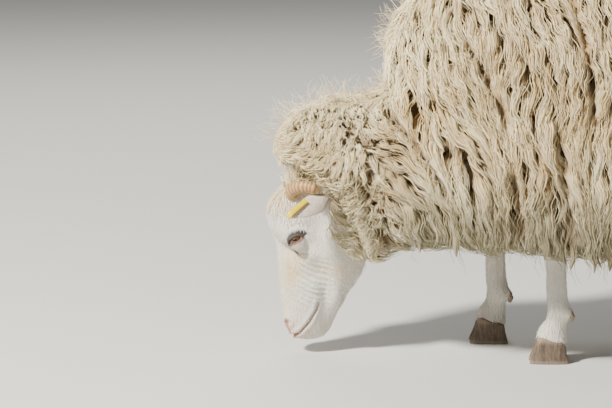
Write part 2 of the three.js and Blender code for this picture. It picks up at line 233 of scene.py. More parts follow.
HEAD_KEYS = [
    [-282, 16, -262, 17, 8, 2, 2, 0],
    [-294, 20, -250, 22, 19, 2.2, 2.2, 0],
    [-304, 32, -241, 32, 26, 2.3, 2.2, 0.06],
    [-311, 50, -235, 45, 29, 2.4, 2.2, 0.02],
    [-315, 72, -229, 59, 31, 2.3, 2.2, -0.1],
    [-317, 96, -221, 73, 35, 2.2, 2.2, -0.18],
    [-319, 120, -214, 87, 39.5, 2.2, 2.2, -0.15],
    [-320.5, 146, -205, 101, 43, 2.3, 2.2, -0.08],
    [-325, 168, -197, 115, 46, 2.3, 2.2, 0],
    [-333, 192, -192, 130, 48, 2.3, 2.2, 0.08],
    [-328, 220, -192, 146, 50, 2.3, 2.2, 0.1],
    [-307, 246, -198, 168, 47, 2.2, 2.2, 0.1],
    [-282, 270, -206, 206, 38, 2.1, 2.1, 0.1],
]
NECK_KEYS = [
    [-262, 300, -188, 214, 42, 2.1, 2.1, 0],
    [-232, 325, -160, 221, 52, 2.1, 2.1, 0],
    [-190, 350, -126, 226, 64, 2.1, 2.1, 0],
    [-140, 396, -96, 232, 76, 2.2, 2.2, 0],
    [-90, 460, -70, 233, 90, 2.2, 2.3, 0],
]
TRUNK_KEYS = [
    [-35, 525, -20, 232, 110, 2.2, 2.5, -0.05],
    [25, 562, 30, 230, 126, 2.2, 2.6, -0.08],
    [100, 564, 100, 226, 140, 2.2, 2.8, -0.1],
    [200, 558, 200, 222, 152, 2.2, 2.8, -0.1],
    [300, 558, 300, 228, 154, 2.2, 2.8, -0.08],
    [380, 562, 380, 246, 144, 2.2, 2.6, -0.05],
    [450, 556, 445, 275, 126, 2.2, 2.4, 0],
    [510, 532, 505, 315, 100, 2.2, 2.2, 0],
    [545, 495, 540, 350, 74, 2.1, 2.1, 0],
    [562, 450, 560, 385, 42, 2, 2, 0],
    [567, 425, 566, 400, 12, 2, 2, 0],
]
FACE_FORMS = [  # centre, reach and height of each form of the face
    [(47, -295, 177), (20, 19, 16), 6],
    [(38, -306, 190), (20, 16, 14), 3.5],
    [(34, -308, 147), (16, 13, 12), -4],
    [(46, -272, 149), (22, 26, 10), 3],
    [(40, -264, 120), (18, 22, 18), -5],
    [(40, -224, 143), (26, 26, 30), 7],
    [(42, -258, 194), (17, 17, 20), -6],
    [(20, -306, 44), (12, 12, 13), 3],
    [(24, -286, 32), (14, 14, 14), 2],
    [(26, -248, 58), (12, 12, 22), -3],
    [(34, -250, 92), (15, 12, 26), -8],
    [(24, -232, 84), (16, 8, 26), 3.5],
]
HAIR_DEPTH = 2.4  # the face's coat lies this far inside the CAD head
BALL = 12.7  # eyeball radius

# the eye looks along GAZE, and its slit runs along SLIT, rising to the back
GAZE = unit((0.955, -0.27, 0.12))
SLIT = np.array([0, math.cos(0.49), math.sin(0.49)])
SLIT = unit(SLIT - GAZE * np.dot(SLIT, GAZE))
RISE = np.cross(GAZE, SLIT)
RISE = RISE * np.sign(RISE[2])


def on_left(points):
    return np.concatenate([np.abs(points[..., :1]), points[..., 1:]], -1)


def slit_measure(points):
    """How far points are from the eye's opening, and how far above its slit.

    The first is 0 on the opening's edge, -1 in its middle and positive outside.
    """
    q = on_left(points) - EYE
    away = unit(q) * (BALL + 1.5)
    spread = 1 / np.sqrt(np.clip(away @ GAZE / (BALL + 1.5), 0.05, 1))
    u, w = away @ SLIT * spread, away @ RISE * spread
    upper = w > 0.12 * u - 0.3
    high = np.where(upper, 3.9, 3.2)
    e = ((np.abs(u) / 13.4) ** 1.75 + (np.abs(w) / high) ** 1.75) ** (1 / 1.75) - 1
    near = (away @ GAZE > -4) & (np.linalg.norm(q, axis=-1) < 34)
    return np.where(near, e, 9.0), w


def near_line(points, line):
    """Distance in the side view from a line of y, z points."""
    p = points[..., 1:]
    best = np.full(p.shape[:-1], 1e9)
    for a, b in zip(line[:-1], line[1:]):
        a, b = np.array(a, float), np.array(b, float)
        t = np.clip(((p - a) @ (b - a)) / np.dot(b - a, b - a), 0, 1)
        best = np.minimum(best, np.linalg.norm(p - a - t[..., None] * (b - a), axis=-1))
    return best


ORBIT_STEP = [(-324, 167), (-305, 157), (-288, 149), (-277, 151)]
# the tear groove below the eye, also darkened as painted shade along the step under the orbit
TEAR_AND_SHADE_LINE = [(-303, 166), (-298, 157), (-289, 150)]
LID_FOLDS = [  # line and depth of each crease round the eye
    ([(-300, 190), (-286, 195), (-272, 190)], 1.3),
    ([(-300, 152), (-290, 145), (-276, 143)], 0.7),
    ([(-268, 166), (-262, 176), (-262, 188)], 0.8),
]
LIP_LINE = [(-259, 77), (-262, 66), (-272, 48), (-286, 32), (-298, 24)]
NOSTRIL = np.array([15.5, -306.5, 41.0])


def nostril_measure(points):
    """Under 1 inside the slit of the nostril, which is a comma that turns out at its top."""
    q = on_left(points) - NOSTRIL
    a = math.radians(34)
    up = q[..., 2] * math.cos(a) + q[..., 1] * math.sin(a)
    side = q[..., 0] - 0.05 * (up - 1) ** 2 * np.sign(up) - 0.25 * up
    return np.sqrt((up / 8.0) ** 2 + (side / 3.2) ** 2 + (np.abs(points[..., 1] + 306) / 22) ** 2)


def model_face(rings):
    """Forms of the face, then lids, folds, nostrils and mouth, as if with a sculptor's tools."""
    normals = grid_normals(rings)
    q = on_left(rings)
    lift = np.zeros(rings.shape[:-1])
    for centre, reach, height in FACE_FORMS:
        far = np.sum(((q - centre) / np.array(reach, float)) ** 2, -1)
        lift += height * np.exp(-far)
    cheek = smooth(q[..., 1], -296, -280) * smooth(q[..., 1], -236, -250) * smooth(q[..., 0], 16, 30)
    cheek = cheek * smooth(q[..., 2], 66, 84) * smooth(q[..., 2], 150, 132)
    wrinkle = 0.78 * (q[..., 2] + 0.35 * q[..., 1])
    wrinkle = wrinkle + 1.6 * np.sin(q[..., 1] / 9) + 1.1 * np.sin(q[..., 2] / 13)
    lift += 0.6 * cheek * np.sin(wrinkle)
    is_head = smooth(rings[..., 1], -150, -215)
    lift -= HAIR_DEPTH * is_head
    d = near_line(rings, ORBIT_STEP)
    below = rings[..., 2] < np.interp(rings[..., 1], [-324, -305, -288, -277], [167, 157, 149, 151])
    step = np.where(below, np.exp(-((d / 11) ** 2)), np.exp(-((d / 2.6) ** 2)))
    lift -= 4.6 * step * smooth(q[..., 0], 6, 20) * smooth(rings[..., 1], -268, -280)
    for fold, deep in LID_FOLDS:
        lift -= deep * np.exp(-((near_line(rings, fold) / 1.8) ** 2)) * (q[..., 0] > 20)
    d = near_line(rings, LIP_LINE)
    lift -= 3.4 * np.exp(-((d / 1.5) ** 2)) * smooth(rings[..., 1], -255, -262)
    lift += 1.6 * np.exp(-(((d - 4.5) / 3) ** 2)) * smooth(rings[..., 1], -250, -266)
    groove = np.exp(-((rings[..., 0] / 1.8) ** 2)) * smooth(rings[..., 2], 46, 30)
    lift -= 2.6 * groove * (rings[..., 1] < -285)
    rings = rings + normals * lift[..., None]
    dent = smooth(nostril_measure(rings), 1.15, 0.6) * (rings[..., 1] < -290)
    rings = rings - normals * 6.0 * dent[..., None]
    wing = np.exp(-(((nostril_measure(rings) - 1.55) / 0.35) ** 2)) * (rings[..., 1] < -294)
    rings = rings + normals * 1.2 * wing[..., None]

    e, above = slit_measure(rings)
    side = np.sign(rings[..., :1])
    centre = EYE * np.concatenate([side, np.ones_like(side), np.ones_like(side)], -1)
    away = unit(rings - centre)
    thick = 1.7 - 0.5 * smooth(e, 0.1, 0.9)
    target = centre + away * (BALL + thick)[..., None]
    hold = (smooth(e, 1.9, 0.5) * (e < 8))[..., None]
    rings = rings + (target - rings) * hold
    crease = np.exp(-(((e - 1.25) / 0.2) ** 2)) * (above > 0) * 1.4
    crease += np.exp(-(((e - 1.0) / 0.16) ** 2)) * (above < 0) * 0.7
    crease += np.exp(-(((e - 1.9) / 0.2) ** 2)) * (above < 0) * 0.5
    rings = rings - away * crease[..., None]
    # the lids cover the ball wherever it would come through
    off = rings - centre
    far = np.linalg.norm(off, axis=-1)
    least = BALL + 1.25 + 0.35 * smooth(e, 0.8, 0.0)
    cover = (far < 20) & (e < 8)
    soft = least + 1.2 * np.exp(np.clip((far - least) / 1.2 - 1, -6, 0))
    held = np.where(cover & (far < least + 1.2), np.maximum(soft, least), far)
    rings = centre + off * (held / np.maximum(far, 1e-6))[..., None]
    behind = centre + away * (BALL - 3.2)
    inside = (smooth(e, -0.02, -0.16) * (e < 8))[..., None]
    return rings + (behind - rings) * inside


def skin_angles(sides, eye_angle=23, spread=13, extra=6.0):
    """Angles round a ring, closer together where the eyes are."""
    fine = np.linspace(0, 2 * math.pi, 4000)
    degrees = np.degrees(fine)
    weight = np.ones_like(fine)
    for middle in (eye_angle, 180 - eye_angle):
        off = np.abs((degrees - middle + 180) % 360 - 180)
        weight += extra * np.exp(-((off / spread) ** 2))
    total = np.concatenate([[0], np.cumsum((weight[1:] + weight[:-1]) / 2)])
    return np.interp(np.arange(sides) / sides, total / total[-1], fine)


body_keys = HEAD_KEYS + NECK_KEYS + TRUNK_KEYS
body_counts = [8, 10, 12, 13, 16, 16, 18, 38, 38, 16, 10, 10] + [8, 8, 8, 7, 6] + [6] * 11
body_sections = eased(body_keys, body_counts)
body_rings = model_face(rings_of(body_sections, skin_angles(232)))
body_skin = tube("skin", body_rings)

# --------------------------------------------------------------------- legs
FEET = {  # x, y of each foot's middle
    "left_fore": (68, 76),
    "right_fore": (-68, -3),
    "left_hind": (68, 452),
    "right_hind": (-68, 492),
}
PASTERN = [
    [-20, 34, 8, 26, 14, 2.2, 2.2, 0],
    [-25, 38, 15.5, 27, 19.5, 2.2, 2.2, 0],
    [-20.5, 50, 15.5, 41, 15.5, 2.1, 2.1, 0],
    [-12.5, 62, 16.5, 56, 14.5, 2.1, 2.1, 0],
    [-10.5, 78, 20, 74, 16.5, 2.1, 2.1, 0],
]
FORE = [
    [-12.5, 98, 16.5, 97, 14],
    [-13.5, 135, 14.5, 135, 13],
    [-15.5, 164, 15.5, 164, 15.5],
    [-16.5, 190, 16.5, 190, 18],
    [-20, 230, 24, 230, 22],
    [-32, 280, 40, 275, 28],
    [-46, 330, 52, 325, 30],
    [-40, 360, 46, 358, 22],
]
HIND = [
    [-9.5, 98, 16.5, 98, 13],
    [-10.5, 135, 14.5, 136, 11.5],
    [-11.5, 168, 18.5, 172, 12.5],
    [-14.5, 202, 30, 212, 16.5],
    [-30, 236, 34, 256, 22],
    [-60, 280, 44, 300, 34],
    [-80, 340, 50, 350, 40],
    [-70, 385, 44, 390, 28],
]
LEG_FORMS = {  # height, place and reach of tendon hollow and joint knobs
    "fore": [(171, 0.9, 15), (78, 0.8, 13)],
    "hind": [(196, 0.9, 16), (78, 0.8, 13)],
}


def leg_rings(name):
    x, y = FEET[name]
    keys = PASTERN + [row + [2.1, 2.1, 0] for row in (FORE if "fore" in name else HIND)]
    angles = np.linspace(0, 2 * math.pi, 44, endpoint=False)
    rings = rings_of(eased(keys, [4, 7, 7, 7, 7, 9, 8, 8, 8, 5, 5, 4]), angles, (x, y))
    normals = grid_normals(rings)
    z = rings[..., 2]
    behind = (rings[..., 1] - y) / 16
    outer = np.abs(rings[..., 0] - x) / 14
    # a hollow on each side between the cannon bone and the tendons behind it
    hollow = np.exp(-(((behind - 0.35) / 0.28) ** 2)) * np.clip(outer, 0, 1)
    lift = -1.7 * hollow * smooth(z, 84, 98) * smooth(z, 160, 142)
    for height, size, reach in LEG_FORMS[name.split("_")[1]]:
        lift += size * np.exp(-(((z - height) / reach) ** 2)) * np.clip(outer, 0, 1)
    for knob in (-10.5, 10.5):  # the skin rises to the dewclaws
        off = (rings - (x + knob, y + 15, 70)) / (8, 9, 9)
        lift += 6.5 * np.exp(-np.sum(off**2, -1))
    return rings + normals * lift[..., None]


legs = [tube(name + "_skin", leg_rings(name)) for name in FEET]

# --------------------------------------------------------------------- tail
TAIL_KEYS = [
    [530, 520, 500, 480, 14, 2, 2, 0],
    [560, 518, 540, 480, 18, 2, 2, 0],
    [588, 480, 566, 458, 17, 2, 2, 0],
    [600, 440, 576, 432, 15, 2, 2, 0],
    [602, 400, 582, 396, 12, 2, 2, 0],
    [600, 364, 587, 362, 8, 2, 2, 0],
    [596, 350, 591, 349, 4, 2, 2, 0],
]
angles = np.linspace(0, 2 * math.pi, 24, endpoint=False)
tail_skin = tube("tail_skin", rings_of(eased(TAIL_KEYS, [5] * 6), angles))

# --------------------------------------------------------------------- ears
EAR_ROOT = np.array([44.0, -245.0, 232.0])
EAR_AXIS = unit((74, -44, -6))
EAR_BACK = unit(
    np.array([0.5, 0.42, 0.74]) - EAR_AXIS * np.dot((0.5, 0.42, 0.74), EAR_AXIS)
)
EAR_ACROSS = np.cross(EAR_AXIS, EAR_BACK)
EAR_LENGTH = 85
EAR_KEYS = [  # half width, roll and thickness, from root to tip
    [10.2, 1.3, 3.6],
    [14, 1.2, 3.2],
    [17, 0.75, 3.0],
    [15.2, 0.5, 2.6],
    [10.8, 0.35, 2.2],
    [5.5, 0.3, 1.9],
    [2.0, 0.3, 1.5],
]


def ear_at(share, angle, radius, rim):
    out = radius * np.cos(angle) - rim - 14 * share**2
    return (
        EAR_ROOT
        + EAR_AXIS * (EAR_LENGTH * share)[..., None]
        + EAR_ACROSS * (radius * np.sin(angle))[..., None]
        + EAR_BACK * out[..., None]
    )


def ear_rings():
    rows = eased(EAR_KEYS, [9, 9, 9, 8, 8, 5])
    shares = eased([[-0.16], [0.17], [0.38], [0.58], [0.78], [0.92], [1.0]], [9, 9, 9, 8, 8, 5])[:, 0]
    rings = []
    for (half, roll, thick), share in zip(rows, shares):
        a = np.linspace(-roll, roll, 17)
        s = np.full(17, share)
        radius = half / roll
        rim = radius * math.cos(roll)
        edge = 1 - 0.55 * np.abs(a / roll) ** 3
        back = ear_at(s, a, radius + 0 * a, rim)
        hollow = ear_at(s, a[::-1], radius - thick * edge, rim)
        rings.append(np.concatenate([back, hollow]))
    return np.array(rings)


left_ear = ear_rings()
inner_ear = left_ear[6:, 19:32].reshape(-1, 3)
MIRROR = np.array([-1, 1, 1])
ears = [tube("left_ear_skin", left_ear), tube("right_ear_skin", left_ear * MIRROR)]

# ---------------------------------------------------------------- one skin
limbs = join("limbs", legs + [tail_skin] + ears)
apply_modifier(body_skin, "BOOLEAN", operation="UNION", solver="FAST", object=limbs)
bpy.data.objects.remove(limbs)
skin = body_skin


def smooth_near(obj, places, reach, rounds):
    """Softens the skin round each place, as a hand would rub a seam away."""
    mesh = bmesh.new()
    mesh.from_mesh(obj.data)
    spots = [(Vector(place(p)), reach / 1000) for p in places]
    picked = [v for v in mesh.verts if any((v.co - p).length < r for p, r in spots)]
    for _ in range(rounds):
        bmesh.ops.smooth_vert(
            mesh, verts=picked, factor=0.5, use_axis_x=True, use_axis_y=True, use_axis_z=True
        )
    mesh.to_mesh(obj.data)
    mesh.free()


ear_foot = ear_at(np.array([0.02]), np.array([0.0]), np.array([9.0]), 4)[0]
smooth_near(skin, [ear_foot, ear_foot * MIRROR], 15, 8)


# ---------------------------------------------------------------- materials
class Graph:
    """Adds nodes to a tree. An input is a value or another node's output."""

    def __init__(self, tree):
        self.tree = tree

    def add(self, kind, inputs=None, out=0, **settings):
        made = self.tree.nodes.new("ShaderNode" + kind)
        for key, value in settings.items():
            setattr(made, key, value)
        for key, value in (inputs or {}).items():
            if isinstance(value, bpy.types.NodeSocket):
                self.tree.links.new(value, made.inputs[key])
            else:
                made.inputs[key].default_value = value
        return made.outputs[out]

    def math(self, operation, *values, clamp=False):
        return self.add("Math", dict(enumerate(values)), operation=operation, use_clamp=clamp)

    def between(self, value, low, high, to_low=0.0, to_high=1.0):
        return self.add(
            "MapRange",
            {"Value": value, "From Min": low, "From Max": high, "To Min": to_low, "To Max": to_high},
            interpolation_type="SMOOTHSTEP",
        )

    def mix(self, share, a, b):
        made = self.tree.nodes.new("ShaderNodeMix")
        made.data_type = "RGBA"
        for socket, value in ((made.inputs[0], share), (made.inputs[6], a), (made.inputs[7], b)):
            if isinstance(value, bpy.types.NodeSocket):
                self.tree.links.new(value, socket)
            elif isinstance(value, tuple):
                socket.default_value = (*value, 1)
            else:
                socket.default_value = value
        return made.outputs[2]

    def attribute(self, name):
        return self.add("Attribute", out=2, attribute_name=name)

    def noise(self, scale, vector, detail=3.0, rough=0.55, distortion=0.0):
        return self.add(
            "TexNoise",
            {
                "Vector": vector, "Scale": scale, "Detail": detail,
                "Roughness": rough, "Distortion": distortion,
            },
        )

    def place(self, scale=(1, 1, 1), turn=(0, 0, 0)):
        spot = self.add("TexCoord", out=3)
        return self.add("Mapping", {"Vector": spot, "Rotation": turn, "Scale": scale})

    def lengthwise(self):
        return self.add("SeparateXYZ", {0: self.place()}, out=1)

    def height(self):
        return self.add("SeparateXYZ", {0: self.place()}, out=2)

    def group(self, tree, inputs=None, out=0):
        made = self.tree.nodes.new("ShaderNodeGroup")
        made.node_tree = tree
        for key, value in (inputs or {}).items():
            if isinstance(value, bpy.types.NodeSocket):
                self.tree.links.new(value, made.inputs[key])
            elif isinstance(value, tuple) and len(value) == 3:
                made.inputs[key].default_value = (*value, 1)
            else:
                made.inputs[key].default_value = value
        return made.outputs[out]


def new_group(name, inputs, outputs):
    """An empty node group: inputs are name: (kind, value), outputs are name: kind."""
    tree = bpy.data.node_groups.new(name, "ShaderNodeTree")
    for key, (kind, value) in inputs.items():
        socket = tree.interface.new_socket(key, in_out="INPUT", socket_type="NodeSocket" + kind)
        socket.default_value = (*value, 1) if kind == "Color" else value
    for key, kind in outputs.items():
        tree.interface.new_socket(key, in_out="OUTPUT", socket_type="NodeSocket" + kind)
    entry = tree.nodes.new("NodeGroupInput")
    leave = tree.nodes.new("NodeGroupOutput")
    return tree, Graph(tree), entry.outputs, leave.inputs


def new_material(name, color, roughness, bump=None, strength=0.3, distance=0.001, **constants):
    """A Principled material. color and bump, and roughness if it varies, are functions of its graph."""
    material = bpy.data.materials.new(name)
    material.use_nodes = True
    graph = Graph(material.node_tree)
    shader = material.node_tree.nodes["Principled BSDF"]
    for key, value in constants.items():
        socket = shader.inputs[key.replace("_", " ")]
        socket.default_value = (*value, 1) if isinstance(value, tuple) else value
    material.node_tree.links.new(color(graph), shader.inputs["Base Color"])
    if callable(roughness):
        material.node_tree.links.new(roughness(graph), shader.inputs["Roughness"])
    else:
        shader.inputs["Roughness"].default_value = roughness
    if bump:
        height = graph.add("Bump", {"Strength": strength, "Distance": distance, "Height": bump(graph)})
        material.node_tree.links.new(height, shader.inputs["Normal"])
    return material


# colours of the coat
CREAM = (1.0, 0.91, 0.62)
BEIGE = (0.62, 0.43, 0.18)
ROOT_GREASE_AND_SHADE = (0.40, 0.25, 0.12)
HEM_SHADE = (0.24, 0.23, 0.14)
WHITE_HAIR = (0.78, 0.77, 0.72)
SAND_HAIR = (0.76, 0.60, 0.34)
PINK_SKIN = (0.52, 0.23, 0.15)
DARK_SKIN_AND_SHADE = (0.026, 0.018, 0.016)

# wool: beige under cream; browner towards the roots with grease and with painted shade deep in the fleece and
# its partings, paler tips as painted light, and darker and greyer at the hem as painted shade
wool_tint, g, i, o = new_group(
    "wool_tint",
    {"Depth": ("Float", 0.0), "Along": ("Float", 0.5), "Lock": ("Float", 0.5), "Strand": ("Float", 0.5)},
    {"Color": "Color"},
)
cloud = g.noise(9.0, g.place(), 2.0)
patchy = g.noise(42.0, g.place(), 2.0)
pale = g.math("ADD", g.math("MULTIPLY", i["Lock"], 0.4), g.math("MULTIPLY", i["Strand"], 0.65))
pale = g.math("ADD", pale, g.between(cloud, 0.3, 0.7, -0.25, 0.25))
pale = g.math("ADD", pale, g.between(g.lengthwise(), -0.27, -0.36, 0.02, 0.16))
# painted light: the strands paler towards their tips
pale = g.math("ADD", pale, g.between(i["Along"], 0.3, 1.0, -0.06, 0.18), clamp=True)
body = g.mix(pale, BEIGE, CREAM)
# painted shade: the wool darker and greyer towards the bottom, less so at the front
low = g.math("MULTIPLY", g.between(g.height(), 0.31, 0.16), 0.85)
low = g.math("MULTIPLY", low, g.between(g.lengthwise(), -0.34, -0.26, 0.15, 1.0))
body = g.mix(low, body, HEM_SHADE)
rust = g.math("MULTIPLY", g.between(patchy, 0.55, 0.75), 0.22)
body = g.mix(rust, body, (0.66, 0.47, 0.27))
# browner with depth below the fleece's surface: grease at the roots, and painted shade in the gaps and
# partings
deep = g.math("MULTIPLY", g.between(i["Depth"], 5.0, 26.0), 0.9)
g.tree.links.new(g.mix(deep, body, ROOT_GREASE_AND_SHADE), o["Color"])

# hair: fine strokes along the coat's lie, for bump and for a slight change of colour
hair_grain, g, i, o = new_group(
    "hair_grain",
    {"Vector": ("Vector", (0, 0, 0)), "Fineness": ("Float", 1.0)},
    {"Height": "Float", "Light": "Float"},
)
scaled = g.add("VectorMath", {0: i["Vector"], "Scale": i["Fineness"]}, operation="SCALE")
fine = g.noise(1.0, scaled, 2.0, 0.6, 0.25)
broad = g.noise(0.28, scaled, 2.0, 0.5, 0.4)
both = g.math("ADD", g.math("MULTIPLY", fine, 0.65), g.math("MULTIPLY", broad, 0.5))
g.tree.links.new(both, o["Height"])
g.tree.links.new(g.between(both, 0.42, 0.75), o["Light"])


def wool_color(g):
    values = {"Depth": g.attribute("deep"), "Along": g.attribute("along")}
    values.update({"Lock": g.attribute("lock"), "Strand": g.attribute("shade")})
    return g.group(wool_tint, values)


fleece_wool = new_material(
    "fleece_wool", wool_color, 0.86, Sheen_Weight=0.35, Sheen_Roughness=0.5,
    Sheen_Tint=(1.0, 0.93, 0.82), Specular_IOR_Level=0.25,
)


def mat_lines(g):
    """Fibres side by side along a flat lock."""
    scales = {"across": 34.0, "along": 7.0, "lock": 40.0}
    parts = [g.math("MULTIPLY", g.attribute(name), scale) for name, scale in scales.items()]
    return g.noise(1.0, g.add("CombineXYZ", dict(enumerate(parts))), 2.0, 0.6, 0.3)


def mat_color(g):
    return g.mix(g.between(mat_lines(g), 0.35, 0.65, 0.5, 0.0), wool_color(g), (0.36, 0.26, 0.16))


fleece_mat = new_material(
    "fleece_mat", mat_color, 0.88, mat_lines, 0.9, 0.0016, Sheen_Weight=0.3,
    Sheen_Roughness=0.5, Sheen_Tint=(1.0, 0.93, 0.82), Specular_IOR_Level=0.2,
)


def skin_color(g):
    face_place = g.place((1, 1, 0.22))
    light = g.group(hair_grain, {"Vector": face_place, "Fineness": 900.0}, 1)
    blotch = g.noise(26.0, g.place(), 2.0)
    grey = g.between(g.height(), 0.10, 0.03, 0.0, 0.35)
    base = g.mix(g.between(blotch, 0.35, 0.7, 0.0, 0.6), WHITE_HAIR, (0.74, 0.67, 0.56))
    base = g.mix(grey, base, (0.56, 0.51, 0.43))
    sandy = g.math("MULTIPLY", g.attribute("sandy"), g.between(blotch, 0.25, 0.6, 0.45, 1.0))
    base = g.mix(sandy, base, SAND_HAIR)
    base = g.mix(g.math("MULTIPLY", light, 0.30), base, (0.50, 0.42, 0.33))
    base = g.mix(g.attribute("bare"), base, PINK_SKIN)
    # dark lid skin, and painted shade round the eye, brow, nostrils and mouth
    base = g.mix(g.attribute("dark"), base, DARK_SKIN_AND_SHADE)
    return g.mix(g.attribute("wool"), base, (0.50, 0.37, 0.235))


def skin_bump(g):
    fine = g.group(hair_grain, {"Vector": g.place((1, 1, 0.22)), "Fineness": 900.0}, 0)
    ripple = g.add(
        "TexWave",
        {
            "Vector": g.place(turn=(0.5, 0, 0)), "Scale": 55.0, "Distortion": 9.0,
            "Detail": 2.0, "Detail Scale": 1.6,
        },
        out=1, wave_type="BANDS", bands_direction="Z",
    )
    ripple = g.math("MULTIPLY", ripple, g.attribute("ripple"))
    pores = g.noise(520.0, g.place(), 1.0)
    wet = g.math("MULTIPLY", pores, g.attribute("bare"))
    hair = g.math("MULTIPLY", fine, g.math("SUBTRACT", 1.0, g.attribute("bare")))
    return g.math("ADD", g.math("ADD", hair, g.math("MULTIPLY", ripple, 0.25)), g.math("MULTIPLY", wet, 0.4))


sheep_skin = new_material(
    "sheep_skin", skin_color, lambda g: g.between(g.attribute("bare"), 0.0, 1.0, 0.82, 0.45),
    skin_bump, 1.0, 0.0018, Sheen_Weight=0.08, Sheen_Roughness=0.5, Specular_IOR_Level=0.3,
)


def short_hair_color(g):
    base = g.mix(g.attribute("shade"), (0.70, 0.67, 0.61), (0.86, 0.84, 0.80))
    sandy = g.math("MULTIPLY", g.attribute("sandy"), g.between(g.attribute("shade"), 0.0, 1.0, 1.0, 0.55))
    base = g.mix(sandy, base, SAND_HAIR)
    return g.mix(g.between(g.attribute("along"), 0.5, 0.0, 0.0, 0.3), base, (0.62, 0.50, 0.36))


short_hair = new_material(
    "short_hair", short_hair_color, 0.8, Sheen_Weight=0.1, Sheen_Roughness=0.5, Specular_IOR_Level=0.25
)


def horn_color(g):
    ring = g.attribute("rib")
    grain = g.group(hair_grain, {"Vector": g.place(), "Fineness": 420.0}, 1)
    base = g.mix(g.between(g.attribute("along"), 0.0, 1.0), (0.56, 0.35, 0.14), (0.47, 0.28, 0.11))
    base = g.mix(g.math("MULTIPLY", grain, 0.45), base, (0.52, 0.31, 0.16))
    return g.mix(g.between(ring, 0.5, -0.9, 0.0, 0.75), base, (0.16, 0.095, 0.055))


def horn_bump(g):
    return g.group(hair_grain, {"Vector": g.place(), "Fineness": 700.0}, 0)


horn_finish = new_material("horn_finish", horn_color, 0.48, horn_bump, 0.5, 0.0006, Specular_IOR_Level=0.4)


def hoof_color(g):
    streak = g.group(hair_grain, {"Vector": g.place((1, 1, 0.12)), "Fineness": 800.0}, 1)
    base = g.mix(g.math("MULTIPLY", streak, 0.7), (0.085, 0.062, 0.045), (0.24, 0.18, 0.125))
    height = g.height()
    pale = g.math("MULTIPLY", g.between(height, 0.026, 0.036), 0.5)
    base = g.mix(pale, base, (0.44, 0.34, 0.24))
    dust = g.math("MULTIPLY", g.between(height, 0.007, 0.0), 0.6)
    return g.mix(dust, base, (0.36, 0.30, 0.23))


def hoof_bump(g):
    rings = g.add(
        "TexWave", {"Vector": g.place((1, 0.35, 1)), "Scale": 120.0, "Distortion": 1.5, "Detail": 1.0},
        out=1, wave_type="BANDS", bands_direction="Z",
    )
    streak = g.group(hair_grain, {"Vector": g.place((1, 1, 0.12)), "Fineness": 800.0}, 0)
    return g.math("ADD", g.math("MULTIPLY", rings, 0.5), streak)


hoof_finish = new_material("hoof_finish", hoof_color, 0.55, hoof_bump, 0.5, 0.0007, Specular_IOR_Level=0.35)


def tag_color(g):
    scuff = g.noise(160.0, g.place((1, 1, 3)), 3.0, 0.6)
    base = g.mix(g.between(scuff, 0.55, 0.8, 0.0, 0.3), (0.84, 0.63, 0.0), (0.72, 0.52, 0.01))
    dirt = g.noise(60.0, g.place(), 2.0)
    return g.mix(g.between(dirt, 0.6, 0.8, 0.0, 0.35), base, (0.50, 0.36, 0.08))


tag_plastic = new_material(
    "tag_plastic", tag_color, lambda g: g.between(g.noise(160.0, g.place(), 3.0), 0.3, 0.8, 0.32, 0.55),
    lambda g: g.noise(260.0, g.place(), 2.0), 0.2, 0.0004, Specular_IOR_Level=0.5,
)


def eye_color(g):
    u, w = g.attribute("iris_u"), g.attribute("iris_w")
    far = g.math("SQRT", g.math("ADD", g.math("MULTIPLY", u, u), g.math("MULTIPLY", w, w)))
    turn = g.math("ARCTAN2", w, u)
    spoke = g.add("CombineXYZ", {0: g.math("MULTIPLY", turn, 9.0), 1: g.math("MULTIPLY", far, 0.5), 2: 0.0})
    rays = g.noise(1.0, spoke, 3.0, 0.6)
    iris = g.mix(g.between(rays, 0.3, 0.7), (0.03, 0.013, 0.004), (0.095, 0.043, 0.011))
    iris = g.mix(g.between(far, 2.2, 4.4, 0.55, 0.0), iris, (0.12, 0.055, 0.02))
    iris = g.mix(g.between(far, 6.6, 8.2), iris, (0.035, 0.02, 0.012))
    iris = g.mix(g.between(far, 8.4, 9.6), iris, (0.42, 0.33, 0.26))
    slot = g.math("POWER", g.math("ABSOLUTE", g.math("DIVIDE", u, 3.6)), 3.0)
    slot = g.math("ADD", slot, g.math("POWER", g.math("ABSOLUTE", g.math("DIVIDE", w, 1.5)), 2.4))
    return g.mix(g.between(slot, 1.25, 0.8), iris, (0.006, 0.005, 0.006))


eye_gloss = new_material(
    "eye_gloss", eye_color, 0.22, None, Coat_Weight=1.0, Coat_Roughness=0.03, Specular_IOR_Level=0.5
)


# -------------------------------------------------------------- hard parts
def mirrored(obj, name):
    """The same piece on the sheep's right, facing out."""
    other = obj.copy()
    other.data = obj.data.copy()
    bpy.context.collection.objects.link(other)
    other.name = other.data.name = name
    set_verts(other, verts_of(other) * MIRROR)
    other.data.flip_normals()
    return other


def edit(obj):
    activate(obj)
    bpy.ops.object.mode_set(mode="EDIT")
    bpy.ops.mesh.select_all(action="DESELECT")
    return bmesh.from_edit_mesh(obj.data)


def at_origin(obj):
    activate(obj)
    bpy.ops.object.transform_apply(location=True, rotation=True, scale=True)


